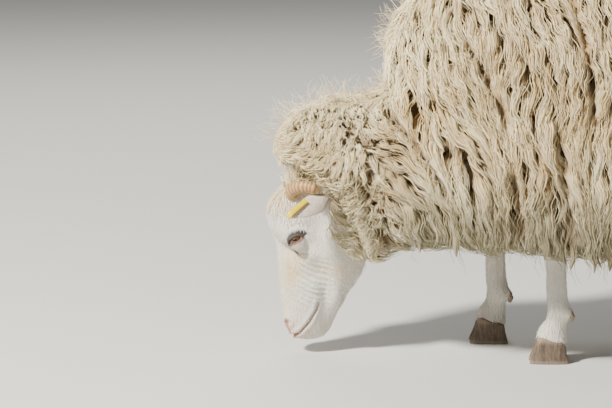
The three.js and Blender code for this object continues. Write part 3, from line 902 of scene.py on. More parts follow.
def eyeball():
    """A ball whose pole looks out, with the bulge of the cornea raised on it."""
    bpy.ops.object.select_all(action="DESELECT")
    turn = Vector(GAZE).to_track_quat("Z", "Y").to_euler()
    bpy.ops.mesh.primitive_uv_sphere_add(
        segments=64, ring_count=40, radius=BALL / 1000, location=place(EYE), rotation=turn
    )
    ball = bpy.context.object
    ball.name = ball.data.name = "left_eyeball"
    at_origin(ball)
    points = verts_of(ball)
    off = points - EYE
    front = off @ GAZE
    bulge = smooth(front, BALL * 0.80, BALL) * 0.7
    set_verts(ball, points + GAZE * bulge[:, None])
    set_attribute(ball, "iris_u", off @ SLIT)
    set_attribute(ball, "iris_w", off @ RISE)
    bpy.ops.object.shade_smooth()
    return ball


left_eyeball = eyeball()
right_eyeball = mirrored(left_eyeball, "right_eyeball")
finish_piece(left_eyeball, eye_gloss, "eye", "left_eye")
finish_piece(right_eyeball, eye_gloss, "eye", "right_eye")

HORN_PATH = [(22, -288, 228), (36, -298, 238), (52, -292, 247), (63, -277, 250), (68, -260, 247)]


def horn():
    """A small ribbed horn that curls back, flattened a little along its inner side."""
    path = eased(np.array(HORN_PATH, float), [30, 30, 30, 30])
    rows = len(path)
    tangent = unit(np.gradient(path, axis=0))
    side = unit(np.cross(tangent, (0, 0.3, 1)))
    up = np.cross(side, tangent)
    share = np.linspace(0, 1, rows)
    rib = np.sin(share * 2 * math.pi * 13.5 + 0.7 * np.sin(share * 23))
    rib = np.sign(rib) * np.abs(rib) ** 0.7
    radius = 10.4 * (1 - 0.42 * share) * (1 + 0.034 * rib * smooth(1 - share, 0, 0.15))
    radius = radius * np.sqrt(np.clip(1 - smooth(share, 0.93, 1.0) * 0.85, 0, 1))
    a = np.linspace(0, 2 * math.pi, 36, endpoint=False)
    shape = 1 - 0.10 * np.cos(2 * a + 0.5) + 0.03 * np.cos(3 * a)
    rings = (
        path[:, None]
        + side[:, None] * (np.cos(a) * shape)[None, :, None] * radius[:, None, None]
        + up[:, None] * (np.sin(a) * shape)[None, :, None] * radius[:, None, None]
    )
    obj = tube("left_horn_shape", rings)
    set_attribute(obj, "rib", np.concatenate([np.repeat(rib, 36), [0, 0]]))
    set_attribute(obj, "along", np.concatenate([np.repeat(share, 36), [0, 1]]))
    return obj


left_horn = horn()
right_horn = mirrored(left_horn, "right_horn_shape")
finish_piece(left_horn, horn_finish, "horn", "left_horn")
finish_piece(right_horn, horn_finish, "horn", "right_horn")


def by_hand(obj, moves):
    """Edit-mode moves: each picks vertices by their place and uses one transform on them."""
    for test, operator, value in moves:
        mesh = edit(obj)
        for vert in mesh.verts:
            vert.select_set(bool(test(*((np.array(vert.co) - SHIFT) * 1000))))
        mesh.select_flush_mode()
        if operator == "resize":
            bpy.ops.transform.resize(value=value)
        else:
            bpy.ops.transform.translate(value=tuple(v / 1000 for v in value))
        bpy.ops.object.mode_set(mode="OBJECT")


def fit(obj, node):
    """Sizes and places a piece to fill the box of the CAD node it stands for."""
    low, high = (np.array(c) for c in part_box(node))
    points = np.array([v.co for v in obj.data.vertices])
    a, b = points.min(0), points.max(0)
    points = low + (points - a) / (b - a) * (high - low)
    obj.data.vertices.foreach_set("co", points.ravel())
    obj.data.update()


def claw():
    """One claw: a block cut into rows, narrowed to its toe, sloped to the heel and rounded."""
    bpy.ops.object.select_all(action="DESELECT")
    bpy.ops.mesh.primitive_cube_add(size=0.04, location=place((0, 0, 20)))
    obj = bpy.context.object
    obj.name = obj.data.name = "claw"
    at_origin(obj)
    edit(obj)
    bpy.ops.mesh.select_all(action="SELECT")
    bpy.ops.mesh.subdivide(number_cuts=3)
    bpy.ops.object.mode_set(mode="OBJECT")
    by_hand(
        obj,
        [
            (lambda x, y, z: z > 1, "resize", (0.96, 0.93, 1)),
            (lambda x, y, z: z > 11, "resize", (0.98, 0.93, 1)),
            (lambda x, y, z: z > 11, "translate", (0, 2.0, 0)),
            (lambda x, y, z: z > 21, "resize", (0.97, 0.93, 1)),
            (lambda x, y, z: z > 31, "resize", (0.93, 0.90, 1)),
            (lambda x, y, z: z > 31, "translate", (0, 2.5, 0)),
            (lambda x, y, z: z > 21 and y > -7, "translate", (0, 0, -3)),
            (lambda x, y, z: z > 21 and y > 3, "translate", (0, 0, -5)),
            (lambda x, y, z: z > 11 and y > 13, "translate", (0, -1.5, -7)),
            (lambda x, y, z: z > 1 and y < -14, "translate", (0, 1.5, 0)),
            (lambda x, y, z: y < -6, "resize", (0.90, 1, 1)),
            (lambda x, y, z: y < -14, "resize", (0.72, 1, 1)),
            (lambda x, y, z: y > 13, "resize", (0.82, 1, 1)),
            (lambda x, y, z: x < -15, "resize", (1, 0.94, 1)),
        ],
    )
    edit(obj)
    mesh = bmesh.from_edit_mesh(obj.data)
    for edge in mesh.edges:
        on_sole = all(v.co.z - SHIFT[2] < 0.0005 for v in edge.verts)
        edge.select_set(on_sole and len(edge.link_faces) == 2 and edge.calc_face_angle(0) > 0.8)
    bpy.ops.transform.edge_crease(value=0.75)
    bpy.ops.object.mode_set(mode="OBJECT")
    apply_modifier(obj, "SUBSURF", levels=2, render_levels=2)
    bpy.ops.object.shade_smooth()
    return obj


def dewclaw():
    """A small blunt cone of horn that points down behind the pastern."""
    bpy.ops.object.select_all(action="DESELECT")
    bpy.ops.mesh.primitive_uv_sphere_add(segments=20, ring_count=12, radius=0.008, location=place((0, 0, 20)))
    obj = bpy.context.object
    obj.name = obj.data.name = "dewclaw"
    at_origin(obj)
    by_hand(
        obj,
        [
            (lambda x, y, z: z < 17, "resize", (0.86, 0.9, 1)),
            (lambda x, y, z: z < 14.5, "resize", (0.8, 0.8, 1)),
            (lambda x, y, z: z < 15 and y > 0, "translate", (0, 1.0, 0)),
            (lambda x, y, z: z > 24, "resize", (0.8, 0.8, 1)),
        ],
    )
    bpy.ops.object.shade_smooth()
    return obj


for form, part in ((claw(), "claw"), (dewclaw(), "dewclaw")):
    for foot in FEET:
        for side in ("inner", "outer"):
            node = f"{foot}_{part}_{side}"
            piece = form.copy()
            piece.data = form.data.copy()
            bpy.context.collection.objects.link(piece)
            piece.name = piece.data.name = node + "_horn"
            if (side == "inner") == foot.startswith("left"):
                set_verts(piece, verts_of(piece) * MIRROR)
                piece.data.flip_normals()
            fit(piece, node)
            finish_piece(piece, hoof_finish, "hoof", node)
    bpy.data.objects.remove(form)


def ear_tag():
    """The folded strap and its pin, with the edges a moulding has."""
    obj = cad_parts["left_ear_tag"].copy()
    obj.data = obj.data.copy()
    bpy.context.collection.objects.link(obj)
    obj.parent = None
    obj.matrix_world.identity()
    obj.name = obj.data.name = "left_ear_tag_strap"
    apply_modifier(obj, "WELD", merge_threshold=0.00002)
    apply_modifier(obj, "BEVEL", width=0.0004, segments=2, limit_method="ANGLE", angle_limit=0.7)
    bpy.ops.object.shade_smooth_by_angle(angle=0.9)
    return obj


finish_piece(ear_tag(), tag_plastic, "ear_tag", "left_ear_tag")


# ---------------------------------------------------- the coat's outer shape
def surface_copy(name, nodes, voxel, rounds):
    """The outer shape of the fleece: CAD solids merged into one soft surface."""
    copies = []
    for node in nodes:
        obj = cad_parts[node].copy()
        obj.data = obj.data.copy()
        bpy.context.collection.objects.link(obj)
        copies.append(obj)
    obj = join(name, copies)
    obj.parent = None
    obj.matrix_world.identity()
    apply_modifier(obj, "WELD", merge_threshold=0.00002)
    apply_modifier(obj, "REMESH", mode="VOXEL", voxel_size=voxel)
    apply_modifier(obj, "SMOOTH", factor=0.5, iterations=rounds)
    return obj


def triangles_of(obj):
    obj.data.calc_loop_triangles()
    flat = np.empty(len(obj.data.loop_triangles) * 3, np.int32)
    obj.data.loop_triangles.foreach_get("vertices", flat)
    return flat.reshape(-1, 3)


class Field:
    """Depth under a closed surface and the way out of it, at any point."""

    def __init__(self, points, triangles, step, low, high):
        self.tree = BVHTree.FromPolygons(points.tolist(), triangles.tolist())
        self.low, self.step = np.array(low, float), step
        axes = [np.arange(a, b + step, step) for a, b in zip(low, high)]
        grid = np.stack(np.meshgrid(*axes, indexing="ij"), -1)
        depth = np.array([self.exact(p) for p in grid.reshape(-1, 3).tolist()])
        depth = depth.reshape(grid.shape[:3])
        self.size = np.array(depth.shape)
        slope = np.stack(np.gradient(-depth, step), -1)
        self.values = np.concatenate([depth[..., None], slope], -1)

    def exact(self, p):
        spot, normal, _, far = self.tree.find_nearest(p)
        return far if (Vector(p) - spot).dot(normal) < 0 else -far

    def at(self, p):
        """Depth (N, 1) and outward direction (N, 3)."""
        cell = (p - self.low) / self.step
        cell = np.clip(cell, 0, self.size - 1.001)
        base = cell.astype(int)
        f = cell - base
        found = 0
        for corner in np.ndindex(2, 2, 2):
            i = base + corner
            w = np.prod(np.where(corner, f, 1 - f), -1, keepdims=True)
            found = found + w * self.values[i[..., 0], i[..., 1], i[..., 2]]
        return found[..., :1], unit(found[..., 1:])


fleece_shape = surface_copy("fleece_shape", ["trunk", "neck", "tail"], 0.008, 3)
shape_points, shape_triangles = verts_of(fleece_shape), triangles_of(fleece_shape)
fleece = Field(shape_points, shape_triangles, 10, (-250, -360, 110), (250, 680, 670))
skin_points, skin_triangles = verts_of(skin), triangles_of(skin)
skin_tree = BVHTree.FromPolygons(skin_points.tolist(), skin_triangles.tolist())
bpy.data.objects.remove(fleece_shape)


def over_skin(points, gap=1.5):
    """Moves points that would be in the head or legs out to a gap over the skin."""
    flat = points.reshape(-1, 3).copy()
    near = (flat[:, 1] < -120) & (flat[:, 2] < 360) | (flat[:, 2] < 235)
    for i in np.nonzero(near)[0]:
        spot, normal, _, _ = skin_tree.find_nearest(flat[i], 60)
        if spot is not None:
            short = gap - (Vector(flat[i]) - spot).dot(normal)
            if short > 0:
                flat[i] += np.array(normal) * short
    return flat.reshape(points.shape)


# -------------------------------------------------------- the lie of the coat
FLOW = [  # y, z and the way the wool lies there, as y, z
    (-312, 285, -1.0, -0.25),
    (-300, 330, -0.95, 0.1),
    (-262, 305, -0.9, -0.3),
    (-265, 270, -0.9, -0.15),
    (-240, 262, -0.4, -0.6),
    (-245, 385, -0.55, 0.1),
    (-215, 325, -0.05, -1),
    (-225, 250, 0.1, -1),
    (-160, 330, 0.75, -1),
    (-125, 318, 0.8, -1),
    (-165, 225, 0.75, -1),
    (-280, 245, 0.15, -1),
    (-215, 185, 0.5, -1),
    (-140, 405, 0.4, -0.8),
    (-95, 480, 0.35, -1),
    (-75, 300, 0.6, -1),
    (-25, 560, 0.4, -1),
    (-5, 240, 0.4, -1),
    (25, 400, 0.24, -1),
    (50, 200, 0.12, -1),
    (110, 570, 0.4, -1),
    (110, 330, 0.05, -1),
    (200, 570, 0.32, -1),
    (210, 300, 0.02, -1),
    (350, 500, 0.22, -1),
    (350, 250, 0.06, -1),
    (480, 500, 0.35, -1),
    (480, 300, 0.2, -1),
    (570, 480, 0.5, -1),
    (580, 300, 0.1, -1),
]
PARTINGS = [  # dark furrows between masses of wool
    [(-176, 374), (-130, 322), (-99, 279), (-86, 252)],
    [(-213, 339), (-190, 318)],
    [(6, 280), (21, 196)],
    [(-60, 470), (-20, 400), (0, 350)],
    [(-205, 262), (-188, 236)],
    [(92, 520), (112, 440), (118, 360)],
    [(70, 330), (84, 240), (86, 180)],
    [(250, 420), (262, 330), (262, 250)],
    [(400, 470), (424, 380), (430, 300)],
    [(330, 560), (350, 500)],
]


def noise(p, size, seed):
    """A smooth wandering value, about -1 to 1."""
    r = np.random.default_rng(seed)
    total = 0
    for _ in range(5):
        way = unit(r.normal(size=3)) / size * r.uniform(0.7, 1.5)
        total = total + np.sin(2 * math.pi * (p @ way) + r.uniform(0, 6.3))
    return total / 2.6


FLOW_PLACES = np.array([row[:2] for row in FLOW], float)
FLOW_WAYS = unit([row[2:] for row in FLOW])


def lie(p, n, turn):
    """The way the wool lies at points p whose outward directions are n."""
    off = p[:, None, 1:] - FLOW_PLACES[None]
    weight = 1 / (np.sum(off**2, -1) + 30**2) ** 2
    way = (weight[..., None] * FLOW_WAYS).sum(1) / weight.sum(1)[:, None]
    side = np.tanh((p[:, 0] + 20 * noise(p, 60, 6)) / 48)
    top = np.clip(n[:, 2], 0, 1)
    x = side * (0.25 + 1.1 * top) * smooth(n[:, 2], -0.2, 0.5)
    under = smooth(n[:, 2], -0.5, -0.85)
    way[:, 0] += 0.9 * under
    f = unit(np.column_stack([x, way]))
    wander = 0.30 * turn * noise(p, 110, 5)[:, None]
    return unit(f + np.cross(n, f) * wander)


def roots_on(points, triangles, spacing, keep):
    """Places on a surface, no two nearer than the spacing there."""
    centres = points[triangles].mean(1)
    triangles = triangles[keep(centres)]
    a, b, c = (points[triangles[:, k]] for k in range(3))
    area = np.linalg.norm(np.cross(b - a, c - a), axis=1) / 2
    # far more places are tried than there is room for, so that no gap stays open
    count = int(area.sum() / (0.14 * spacing(centres).min() ** 2))
    pick = rng.choice(len(area), count, p=area / area.sum())
    u, v = rng.random((2, count, 1))
    u, v = np.where(u + v > 1, 1 - u, u), np.where(u + v > 1, 1 - v, v)
    p = a[pick] + u * (b[pick] - a[pick]) + v * (c[pick] - a[pick])
    p = p[keep(p)]
    gap = spacing(p)
    cell = float(gap.max())
    filed, chosen = {}, []
    for i, (q, g) in enumerate(zip(p.tolist(), gap.tolist())):
        home = tuple(int(k // cell) for k in q)
        reach = int(g // cell) + 1
        around = itertools.product(*(range(k - reach, k + reach + 1) for k in home))
        if not any(math.dist(r, q) < g for where in around for r in filed.get(where, ())):
            filed.setdefault(home, []).append(q)
            chosen.append(i)
    return p[chosen]


def walk(roots, length, steps, turn):
    """Paths along the coat's surface from each root, following its lie."""
    p = roots.copy()
    _, n = fleece.at(p)
    # locks hang free past the hem of the flanks and over the forehead
    y = p[:, 1:2]
    hangs = smooth(n[:, 2:], -0.55, -0.2) * np.maximum(smooth(y, -175, -150), 0.8 * smooth(y, -262, -285))
    path, normals, way = [p], [n], None
    stride = length / steps
    for _ in range(steps):
        f = lie(p, n, turn)
        t = unit(f - n * dot(f, n))
        way = t if way is None else unit(0.5 * way + 0.5 * t)
        free = hangs * smooth(n[:, 2:], -0.1, -0.45)
        way = unit(way * (1 - free) + np.array([0, 0.12, -1.0]) * free)
        p = p + way * stride
        deep, out = fleece.at(p)
        p = p + out * deep * (1 - free)
        n = unit(n * free + out * (1 - free) + 1e-6)
        path.append(p)
        normals.append(n)
    return np.stack(path, 1), np.stack(normals, 1)


# ----------------------------------------------------------- locks and tufts
def unwrap(p):
    """A point's place on an unwrap of the skin: round the body and along it, or a leg, or an ear."""
    x, y, z = p[:, 0], p[:, 1], p[:, 2]
    head = y < -185
    along = np.where(head, (z - 10) / 300, (y + 185) / 760)
    middle_y = np.interp(z, [10, 100, 170, 270, 330], [-272, -268, -255, -245, -235])
    middle_z = np.interp(y, [-185, -90, 30, 300, 560], [290, 345, 400, 395, 425])
    round_head = np.arctan2(x, -(y - middle_y)) / (2 * math.pi) + 0.5
    round_body = np.arctan2(x, z - middle_z) / (2 * math.pi) + 0.5
    u = np.where(head, 0.02 + 0.34 * round_head, 0.40 + 0.56 * round_body)
    v = 0.36 + 0.62 * np.clip(along, 0, 1)
    for k, (fx, fy) in enumerate(FEET.values()):
        leg = (z < 232) & (np.hypot(x - fx, y - fy - 2) < 44) & (np.abs(y) < 560) & (y > -60)
        turn = np.arctan2(x - fx, y - fy) / (2 * math.pi) + 0.5
        u = np.where(leg, 0.02 + 0.24 * k + 0.2 * turn, u)
        v = np.where(leg, 0.02 + 0.23 * z / 232, v)
    off = on_left(p) - EAR_ROOT
    share, side, back = off @ EAR_AXIS / EAR_LENGTH, off @ EAR_ACROSS, off @ EAR_BACK
    ear = (share > 0.05) & (np.hypot(side, back) < 24) & head
    turn = np.arctan2(side, back + 10) / (2 * math.pi) + 0.5
    u = np.where(ear, 0.02 + 0.24 * (x < 0) + 0.2 * turn, u)
    v = np.where(ear, 0.27 + 0.07 * np.clip(share, 0, 1), v)
    return np.column_stack([u, v])


PATCH = 0.003  # side of a strand's own square on the UV map


def strands(name, paths, normals, radius, flat=1.0, sides=3, **shades):
    """One mesh of thin, closed, tapering strands.

    paths and normals are (N, P, 3) and radius is (N, P). flat is thickness over width.
    """
    count, rows = paths.shape[:2]
    tangent = unit(np.gradient(paths, axis=1))
    across = unit(np.cross(tangent, normals))
    out = np.cross(across, tangent)
    a = np.arange(sides) * 2 * math.pi / sides + math.pi / 2
    ring = (
        np.cos(a)[:, None] * across[:, :, None, :]
        + flat * np.sin(a)[:, None] * out[:, :, None, :]
    )
    body = paths[:, :, None, :] + ring * radius[:, :, None, None]
    body = body.reshape(count, rows * sides, 3)
    ends = np.stack(
        [
            paths[:, 0] - tangent[:, 0] * radius[:, 0, None] * 0.5,
            paths[:, -1] + tangent[:, -1] * radius[:, -1, None] * 2,
        ],
        1,
    )
    points = np.concatenate([body, ends], 1)
    per = rows * sides + 2
    i, j = np.meshgrid(np.arange(rows - 1), np.arange(sides), indexing="ij")
    k = (j + 1) % sides
    p, q, r, s = (
        v.ravel()
        for v in (i * sides + j, i * sides + k, (i + 1) * sides + k, (i + 1) * sides + j)
    )
    j = np.arange(sides)
    k = (j + 1) % sides
    last = (rows - 1) * sides
    one = np.concatenate(
        [
            np.stack([p, r, q], 1),
            np.stack([p, s, r], 1),
            np.stack([j, k, j * 0 + per - 2], 1),
            np.stack([last + k, last + j, j * 0 + per - 1], 1),
        ]
    )
    triangles = (one[None] + np.arange(count)[:, None, None] * per).reshape(-1, 3)
    mesh = bpy.data.meshes.new(name)
    mesh.vertices.add(count * per)
    mesh.vertices.foreach_set("co", place(points.reshape(-1, 3)).ravel())
    mesh.loops.add(triangles.size)
    mesh.loops.foreach_set("vertex_index", triangles.ravel())
    mesh.polygons.add(len(triangles))
    mesh.polygons.foreach_set("loop_start", np.arange(len(triangles)) * 3)
    mesh.polygons.foreach_set("use_smooth", np.ones(len(triangles), bool))
    mesh.update(calc_edges=True)
    obj = bpy.data.objects.new(name, mesh)
    bpy.context.collection.objects.link(obj)

    share = np.linspace(0, 1, rows)
    along = np.concatenate([np.repeat(share, sides), [0, 1]])
    round_it = np.concatenate([np.tile(np.arange(sides) / sides, rows), [0.4, 0.45]])
    home = unwrap(paths[:, 0])[:, None, :]
    patch = PATCH * np.stack([round_it - 0.5, along * 0.9 - 0.45], -1)
    patch[-2:, 1] = [-PATCH * 0.5, PATCH * 0.5]
    uv = (home + patch).reshape(-1, 2)
    layer = mesh.uv_layers.new(name="OFBake")
    layer.data.foreach_set("uv", uv[triangles.ravel()].astype(np.float32).ravel())
    set_attribute(obj, "along", np.tile(along, count))
    for key, value in shades.items():
        value = np.asarray(value, float)
        if value.ndim == 1:
            value = np.repeat(value, per)
        else:
            middle = np.repeat(value, sides, axis=1)
            value = np.concatenate([middle, value[:, :1], value[:, -1:]], 1)
        set_attribute(obj, key, value)
    return obj


class Locks:
    """Locks of wool, each one walked along the fleece and then split into strands."""

    def __init__(self, roots, length, steps=20, turn=1.0):
        self.count = len(roots)
        self.roots = roots
        self.length = length
        self.path, self.normals = walk(roots, length[:, None], steps, turn)
        tangent = unit(np.gradient(self.path, axis=1))
        self.across = unit(np.cross(tangent, self.normals))
        self.out = np.cross(self.across, tangent)
        p = roots
        self.phase = 2.2 * noise(p, 150, 11) + rng.normal(0, 0.5, self.count)
        self.shade = rng.random(self.count)

    def split(
        self, each, rows, width, thick, wave, wavelength, curl, top, root_depth, lift, radius,
        gather, shortest, loose, longest=1.0,
    ):
        """Paths, normals, radii and shades of `each` strands of every lock."""
        which = np.repeat(np.arange(self.count), each)
        n = len(which)
        steps = self.path.shape[1] - 1
        share = np.linspace(0, 1, rows)
        reach = rng.uniform(shortest, longest, (n, 1))
        at = share[None] * steps * reach
        i = np.minimum(at.astype(int), steps - 1)
        f = (at - i)[..., None]

        def row(values):
            return values[which[:, None], i] * (1 - f) + values[which[:, None], i + 1] * f

        centre, out, across = row(self.path), unit(row(self.out)), unit(row(self.across))
        s = share[None] * np.ones((n, 1))
        lane = (np.tile(np.arange(each), self.count) + rng.uniform(0.2, 0.8, n)) / each * 2 - 1
        lane = lane[:, None] * (width[which, None] / 2)
        layer = rng.uniform(-1, 1, (n, 1)) * thick
        hem = smooth(self.path[which, -1, 2], 240, 190)[:, None]
        closing = 1 - gather * (1 - 1.1 * hem) * s**1.2
        bow = rng.normal(0, 4 * loose, (n, 1)) * np.sin(math.pi * s)
        bow = bow + rng.normal(0, 5 * loose, (n, 1)) * s**2
        grow = smooth(s, 0.02, 0.35) * (0.65 + 0.5 * s)
        length = self.length[which, None]
        angle = 2 * math.pi * s * length * reach / wavelength[which, None] + self.phase[which, None]
        angle = angle + rng.normal(0, loose, (n, 1))
        swing = wave[which, None] * np.sin(angle) * grow
        crimp = 0.35 * np.sin(angle * 3.1 + rng.uniform(0, 6, (n, 1)))
        rise = curl[which, None] * np.cos(angle) * grow
        # along the back the locks part shallowly, so that no furrow opens there
        ridge = np.exp(-((self.roots[:, 0] / 45) ** 2)) * smooth(self.normals[:, 0, 2], 0.5, 0.8)
        start = (root_depth - (root_depth - 9) * ridge)[which, None]
        deep = top[which, None] + (start - top[which, None]) * np.clip(1 - s / 0.5, 0, 1) ** 1.7
        deep = deep - lift[which, None] * s**3 + layer * closing
        side = lane * closing + bow + swing + crimp
        points = centre + across * side[..., None] + out * (rise - deep)[..., None]
        thin = (0.6 + 0.4 * smooth(s, 0, 0.2)) * (1 - 0.82 * s**2.6)
        radii = radius * rng.uniform(0.6, 1.3, (n, 1)) * thin
        return which, points, out, radii, deep


def parted(points):
    """Pushes strands down into the furrows between masses of wool."""
    _, n = fleece.at(points.reshape(-1, 3))
    n = n.reshape(points.shape)
    push = 0
    for line in PARTINGS:
        d = near_line(points, line)
        push = push + 18 * np.exp(-((d / 6.0) ** 2))
    deepest = 13 + 6 * smooth(points[..., 2], 220, 270)
    push = np.minimum(push, deepest) * smooth(np.abs(points[..., 0]), 40, 90)
    return points - n * push[..., None], push


WOOL_THINNED = 1.0
HAIR_THINNED = 1.0
NECK_START = -165  # y where the neck's locks take over from the body's
UNDERSIDE = -0.55  # below this upward share of its normal, a place is on the belly


def evenly(gap):
    """A spacing of hairs that is the same everywhere."""
    return lambda p: np.full(len(p), gap * HAIR_THINNED)


def wool_spacing(p):
    """The gap between locks: least on the neck, its sides and the spine, most on the belly."""
    side, y, z = np.abs(p[:, 0]), p[:, 1], p[:, 2]
    _, n = fleece.at(p)
    gap = np.full(len(p), 15.8)
    gap = np.where(y < NECK_START, 10.6, gap)
    gap = np.where((y < -186) & (z > 170) & (z < 275), 9.4, gap)
    gap = np.where((side < 36) & (n[:, 2] > 0.7) & (y > -150), 10.5, gap)
    gap = np.where(n[:, 2] < UNDERSIDE, 24.0, gap)
    return gap * WOOL_THINNED


def wool_grows(p):
    """Where the fleece's own skin is under it, and not the bare head."""
    face_edge = np.interp(p[:, 2], [150, 200, 235, 262, 290, 340], [-222, -232, -226, -250, -330, -350])
    return p[:, 1] > face_edge


def body_locks(roots, outward):
    """Long wavy locks that hang from the back and flanks."""
    m = len(roots)
    under = outward[:, 2] < UNDERSIDE
    rump = roots[:, 1] > 575
    length = rng.uniform(74, 116, m)
    length = np.where(under, rng.uniform(40, 62, m), length)
    length = np.where(rump, rng.uniform(50, 80, m), length)
    wave = rng.uniform(1.8, 4.6, m)
    top = np.clip(rng.uniform(0, 6.5, m) + 3.0 * noise(roots, 60, 31), -2, 10)
    return dict(
        length=length, wave=wave, wavelength=rng.uniform(34, 52, m), curl=wave * 0.45,
        top=top, lift=rng.uniform(-3, 5, m), width=rng.uniform(14, 22, m),
    )


def neck_locks(roots, outward):
    """Shorter, finer and curlier locks; behind the cheeks they curl up in knots."""
    m = len(roots)
    side, y, z = np.abs(roots[:, 0]), roots[:, 1], roots[:, 2]
    nape = outward[:, 2] > 0.1
    knot = (y > -262) & (y < -180) & (side > 44) & (z > 168) & (z < 280)
    length = np.where(nape, rng.uniform(30, 52, m), rng.uniform(44, 74, m))
    length = np.where(knot, rng.uniform(30, 40, m), length)
    over_ear = (y < -232) & (z < 300) & (side > 34)
    length = np.where(over_ear, np.minimum(length, rng.uniform(22, 34, m)), length)
    wave = np.where(knot, 4.6, rng.uniform(1.0, 2.6, m))
    top = np.clip(rng.uniform(0, 5, m) + 3.0 * noise(roots, 50, 31), -2, 8)
    return dict(
        length=length, wave=wave, wavelength=np.where(knot, 15.0, rng.uniform(18, 32, m)),
        curl=np.where(knot, 4.2, wave * 0.6), top=top, lift=rng.uniform(-2, 4, m),
        width=rng.uniform(11, 16, m),
    )


class Wool:
    """Strands and flat under-locks grown from roots, kept until their pieces are made."""

    def __init__(self):
        self.parts = []

    def grow(self, kind, locks, form, each, rows, thick, radius, loose):
        which, paths, normals, radii, deep = locks.split(
            each, rows, form["width"], thick, form["wave"], form["wavelength"], form["curl"],
            form["top"], root_depth=28, lift=form["lift"], radius=radius,
            gather=0.46, shortest=0.55, loose=loose,
        )
        self.keep(kind + "_strands", locks, which, paths, normals, radii, deep, 3, 1.0)

    def back(self, kind, locks, form, rows, under, share):
        """A flat lock under the strands, so that nothing shows between them but wool."""
        none = 0 * form["width"]
        which, paths, normals, radii, deep = locks.split(
            1, rows, none, 0, form["wave"], form["wavelength"], form["curl"],
            form["top"] + under, root_depth=34, lift=none, radius=1.0,
            gather=0, shortest=0.66, loose=0.1, longest=0.8,
        )
        radii = radii * form["width"][which, None] * share
        self.keep(kind + "_backing", locks, which, paths, normals, radii, deep, 4, 0.24)

    def keep(self, kind, locks, which, paths, normals, radii, deep, sides, flat):
        paths, push = parted(paths)
        shades = locks.shade[which]
        # the parting's push adds to the depth, so strands in the partings take painted shade
        self.parts.append((kind, shades, over_skin(paths), normals, radii, deep + push, sides, flat))


roots = roots_on(shape_points, shape_triangles, wool_spacing, wool_grows)
on_neck = roots[:, 1] < NECK_START
wool = Wool()
for kind, chosen, form_of, turn, each, rows, radius in (
    ("body", ~on_neck, body_locks, 1.0, 7, 8, 0.79),
    ("neck", on_neck, neck_locks, 1.8, 7, 8, 0.60),
):
    _, outward = fleece.at(roots[chosen])
    form = form_of(roots[chosen], outward)
    locks = Locks(roots[chosen], form["length"], turn=turn)
    wool.grow(kind, locks, form, each, rows, thick=2.2, radius=radius, loose=0.45)
    wool.back(kind, locks, form, rows=6, under=4.0, share=0.48)

# wisps: loose curly fibres that stand off the nape and the withers
wisp_roots = roots_on(
    shape_points, shape_triangles, lambda p: np.where(p[:, 1] < -150, 9.5, 14.0) * WOOL_THINNED,
    lambda p: (p[:, 1] < 20) & (fleece.at(p)[1][:, 2] > 0.05) & (p[:, 1] > -330),
)


def wisps(roots):
    """Thin fibres that leave the fleece outwards, up and forward in loose curls."""
    m, rows = len(roots), 9
    _, n = fleece.at(roots)
    front = np.column_stack([rng.normal(0, 0.35, m), rng.uniform(-0.9, 0.1, m), rng.uniform(-0.1, 0.9, m)])
    way = unit(n * rng.uniform(0.25, 0.9, (m, 1)) + front)
    length = rng.uniform(12, 27, m) * np.where(roots[:, 1] < -210, 1.25, 1.0)
    s = np.linspace(0, 1, rows)[None, :, None]
    side = unit(np.cross(way, n + 0.3 * rng.normal(size=(m, 3))))
    up = np.cross(side, way)
    bend = rng.normal(0, 0.45, (m, 1, 2)) * length[:, None, None] * s**2
    turns = rng.uniform(0, 6.3, (m, 1, 1)) + s * (length / rng.uniform(3.0, 6.5, m))[:, None, None]
    size = rng.uniform(2.0, 4.6, (m, 1, 1)) * s**0.7
    paths = roots[:, None] - 5 * n[:, None] * (1 - s) + way[:, None] * length[:, None, None] * s
    paths = paths + side[:, None] * (bend[..., :1] + size * np.sin(turns))
    paths = paths + up[:, None] * (bend[..., 1:] + size * np.cos(turns))
    radii = 0.46 * rng.uniform(0.7, 1.3, (m, 1)) * (1 - 0.65 * s[..., 0])
    normals = np.repeat(up[:, None], rows, 1)
    return rng.random(m), paths, normals, radii, 0 * radii


wool.parts.append(("wisps", *wisps(wisp_roots), 3, 1.0))


# ------------------------------------------------------- marks on the skin
SAND_PATCHES = [  # y, z, reach each way and strength of the sandy places of the face
    (-296, 128, 14, 24, 1.0),
    (-242, 130, 16, 17, 0.8),
    (-306, 92, 12, 30, 0.45),
    (-262, 178, 12, 20, 0.35),
]


def inner_ear_share(points):
    """1 in the hollow of an ear, 0 elsewhere."""
    tree = KDTree(len(inner_ear))
    for k, p in enumerate(inner_ear):
        tree.insert(p, k)
    tree.balance()
    q = on_left(points)
    near = np.nonzero((np.abs(points[:, 0]) > 40) & (q[:, 2] > 195) & (q[:, 1] < -225))[0]
    share = np.zeros(len(points))
    for k in near:
        share[k] = tree.find(q[k])[2] < 1.1
    return share


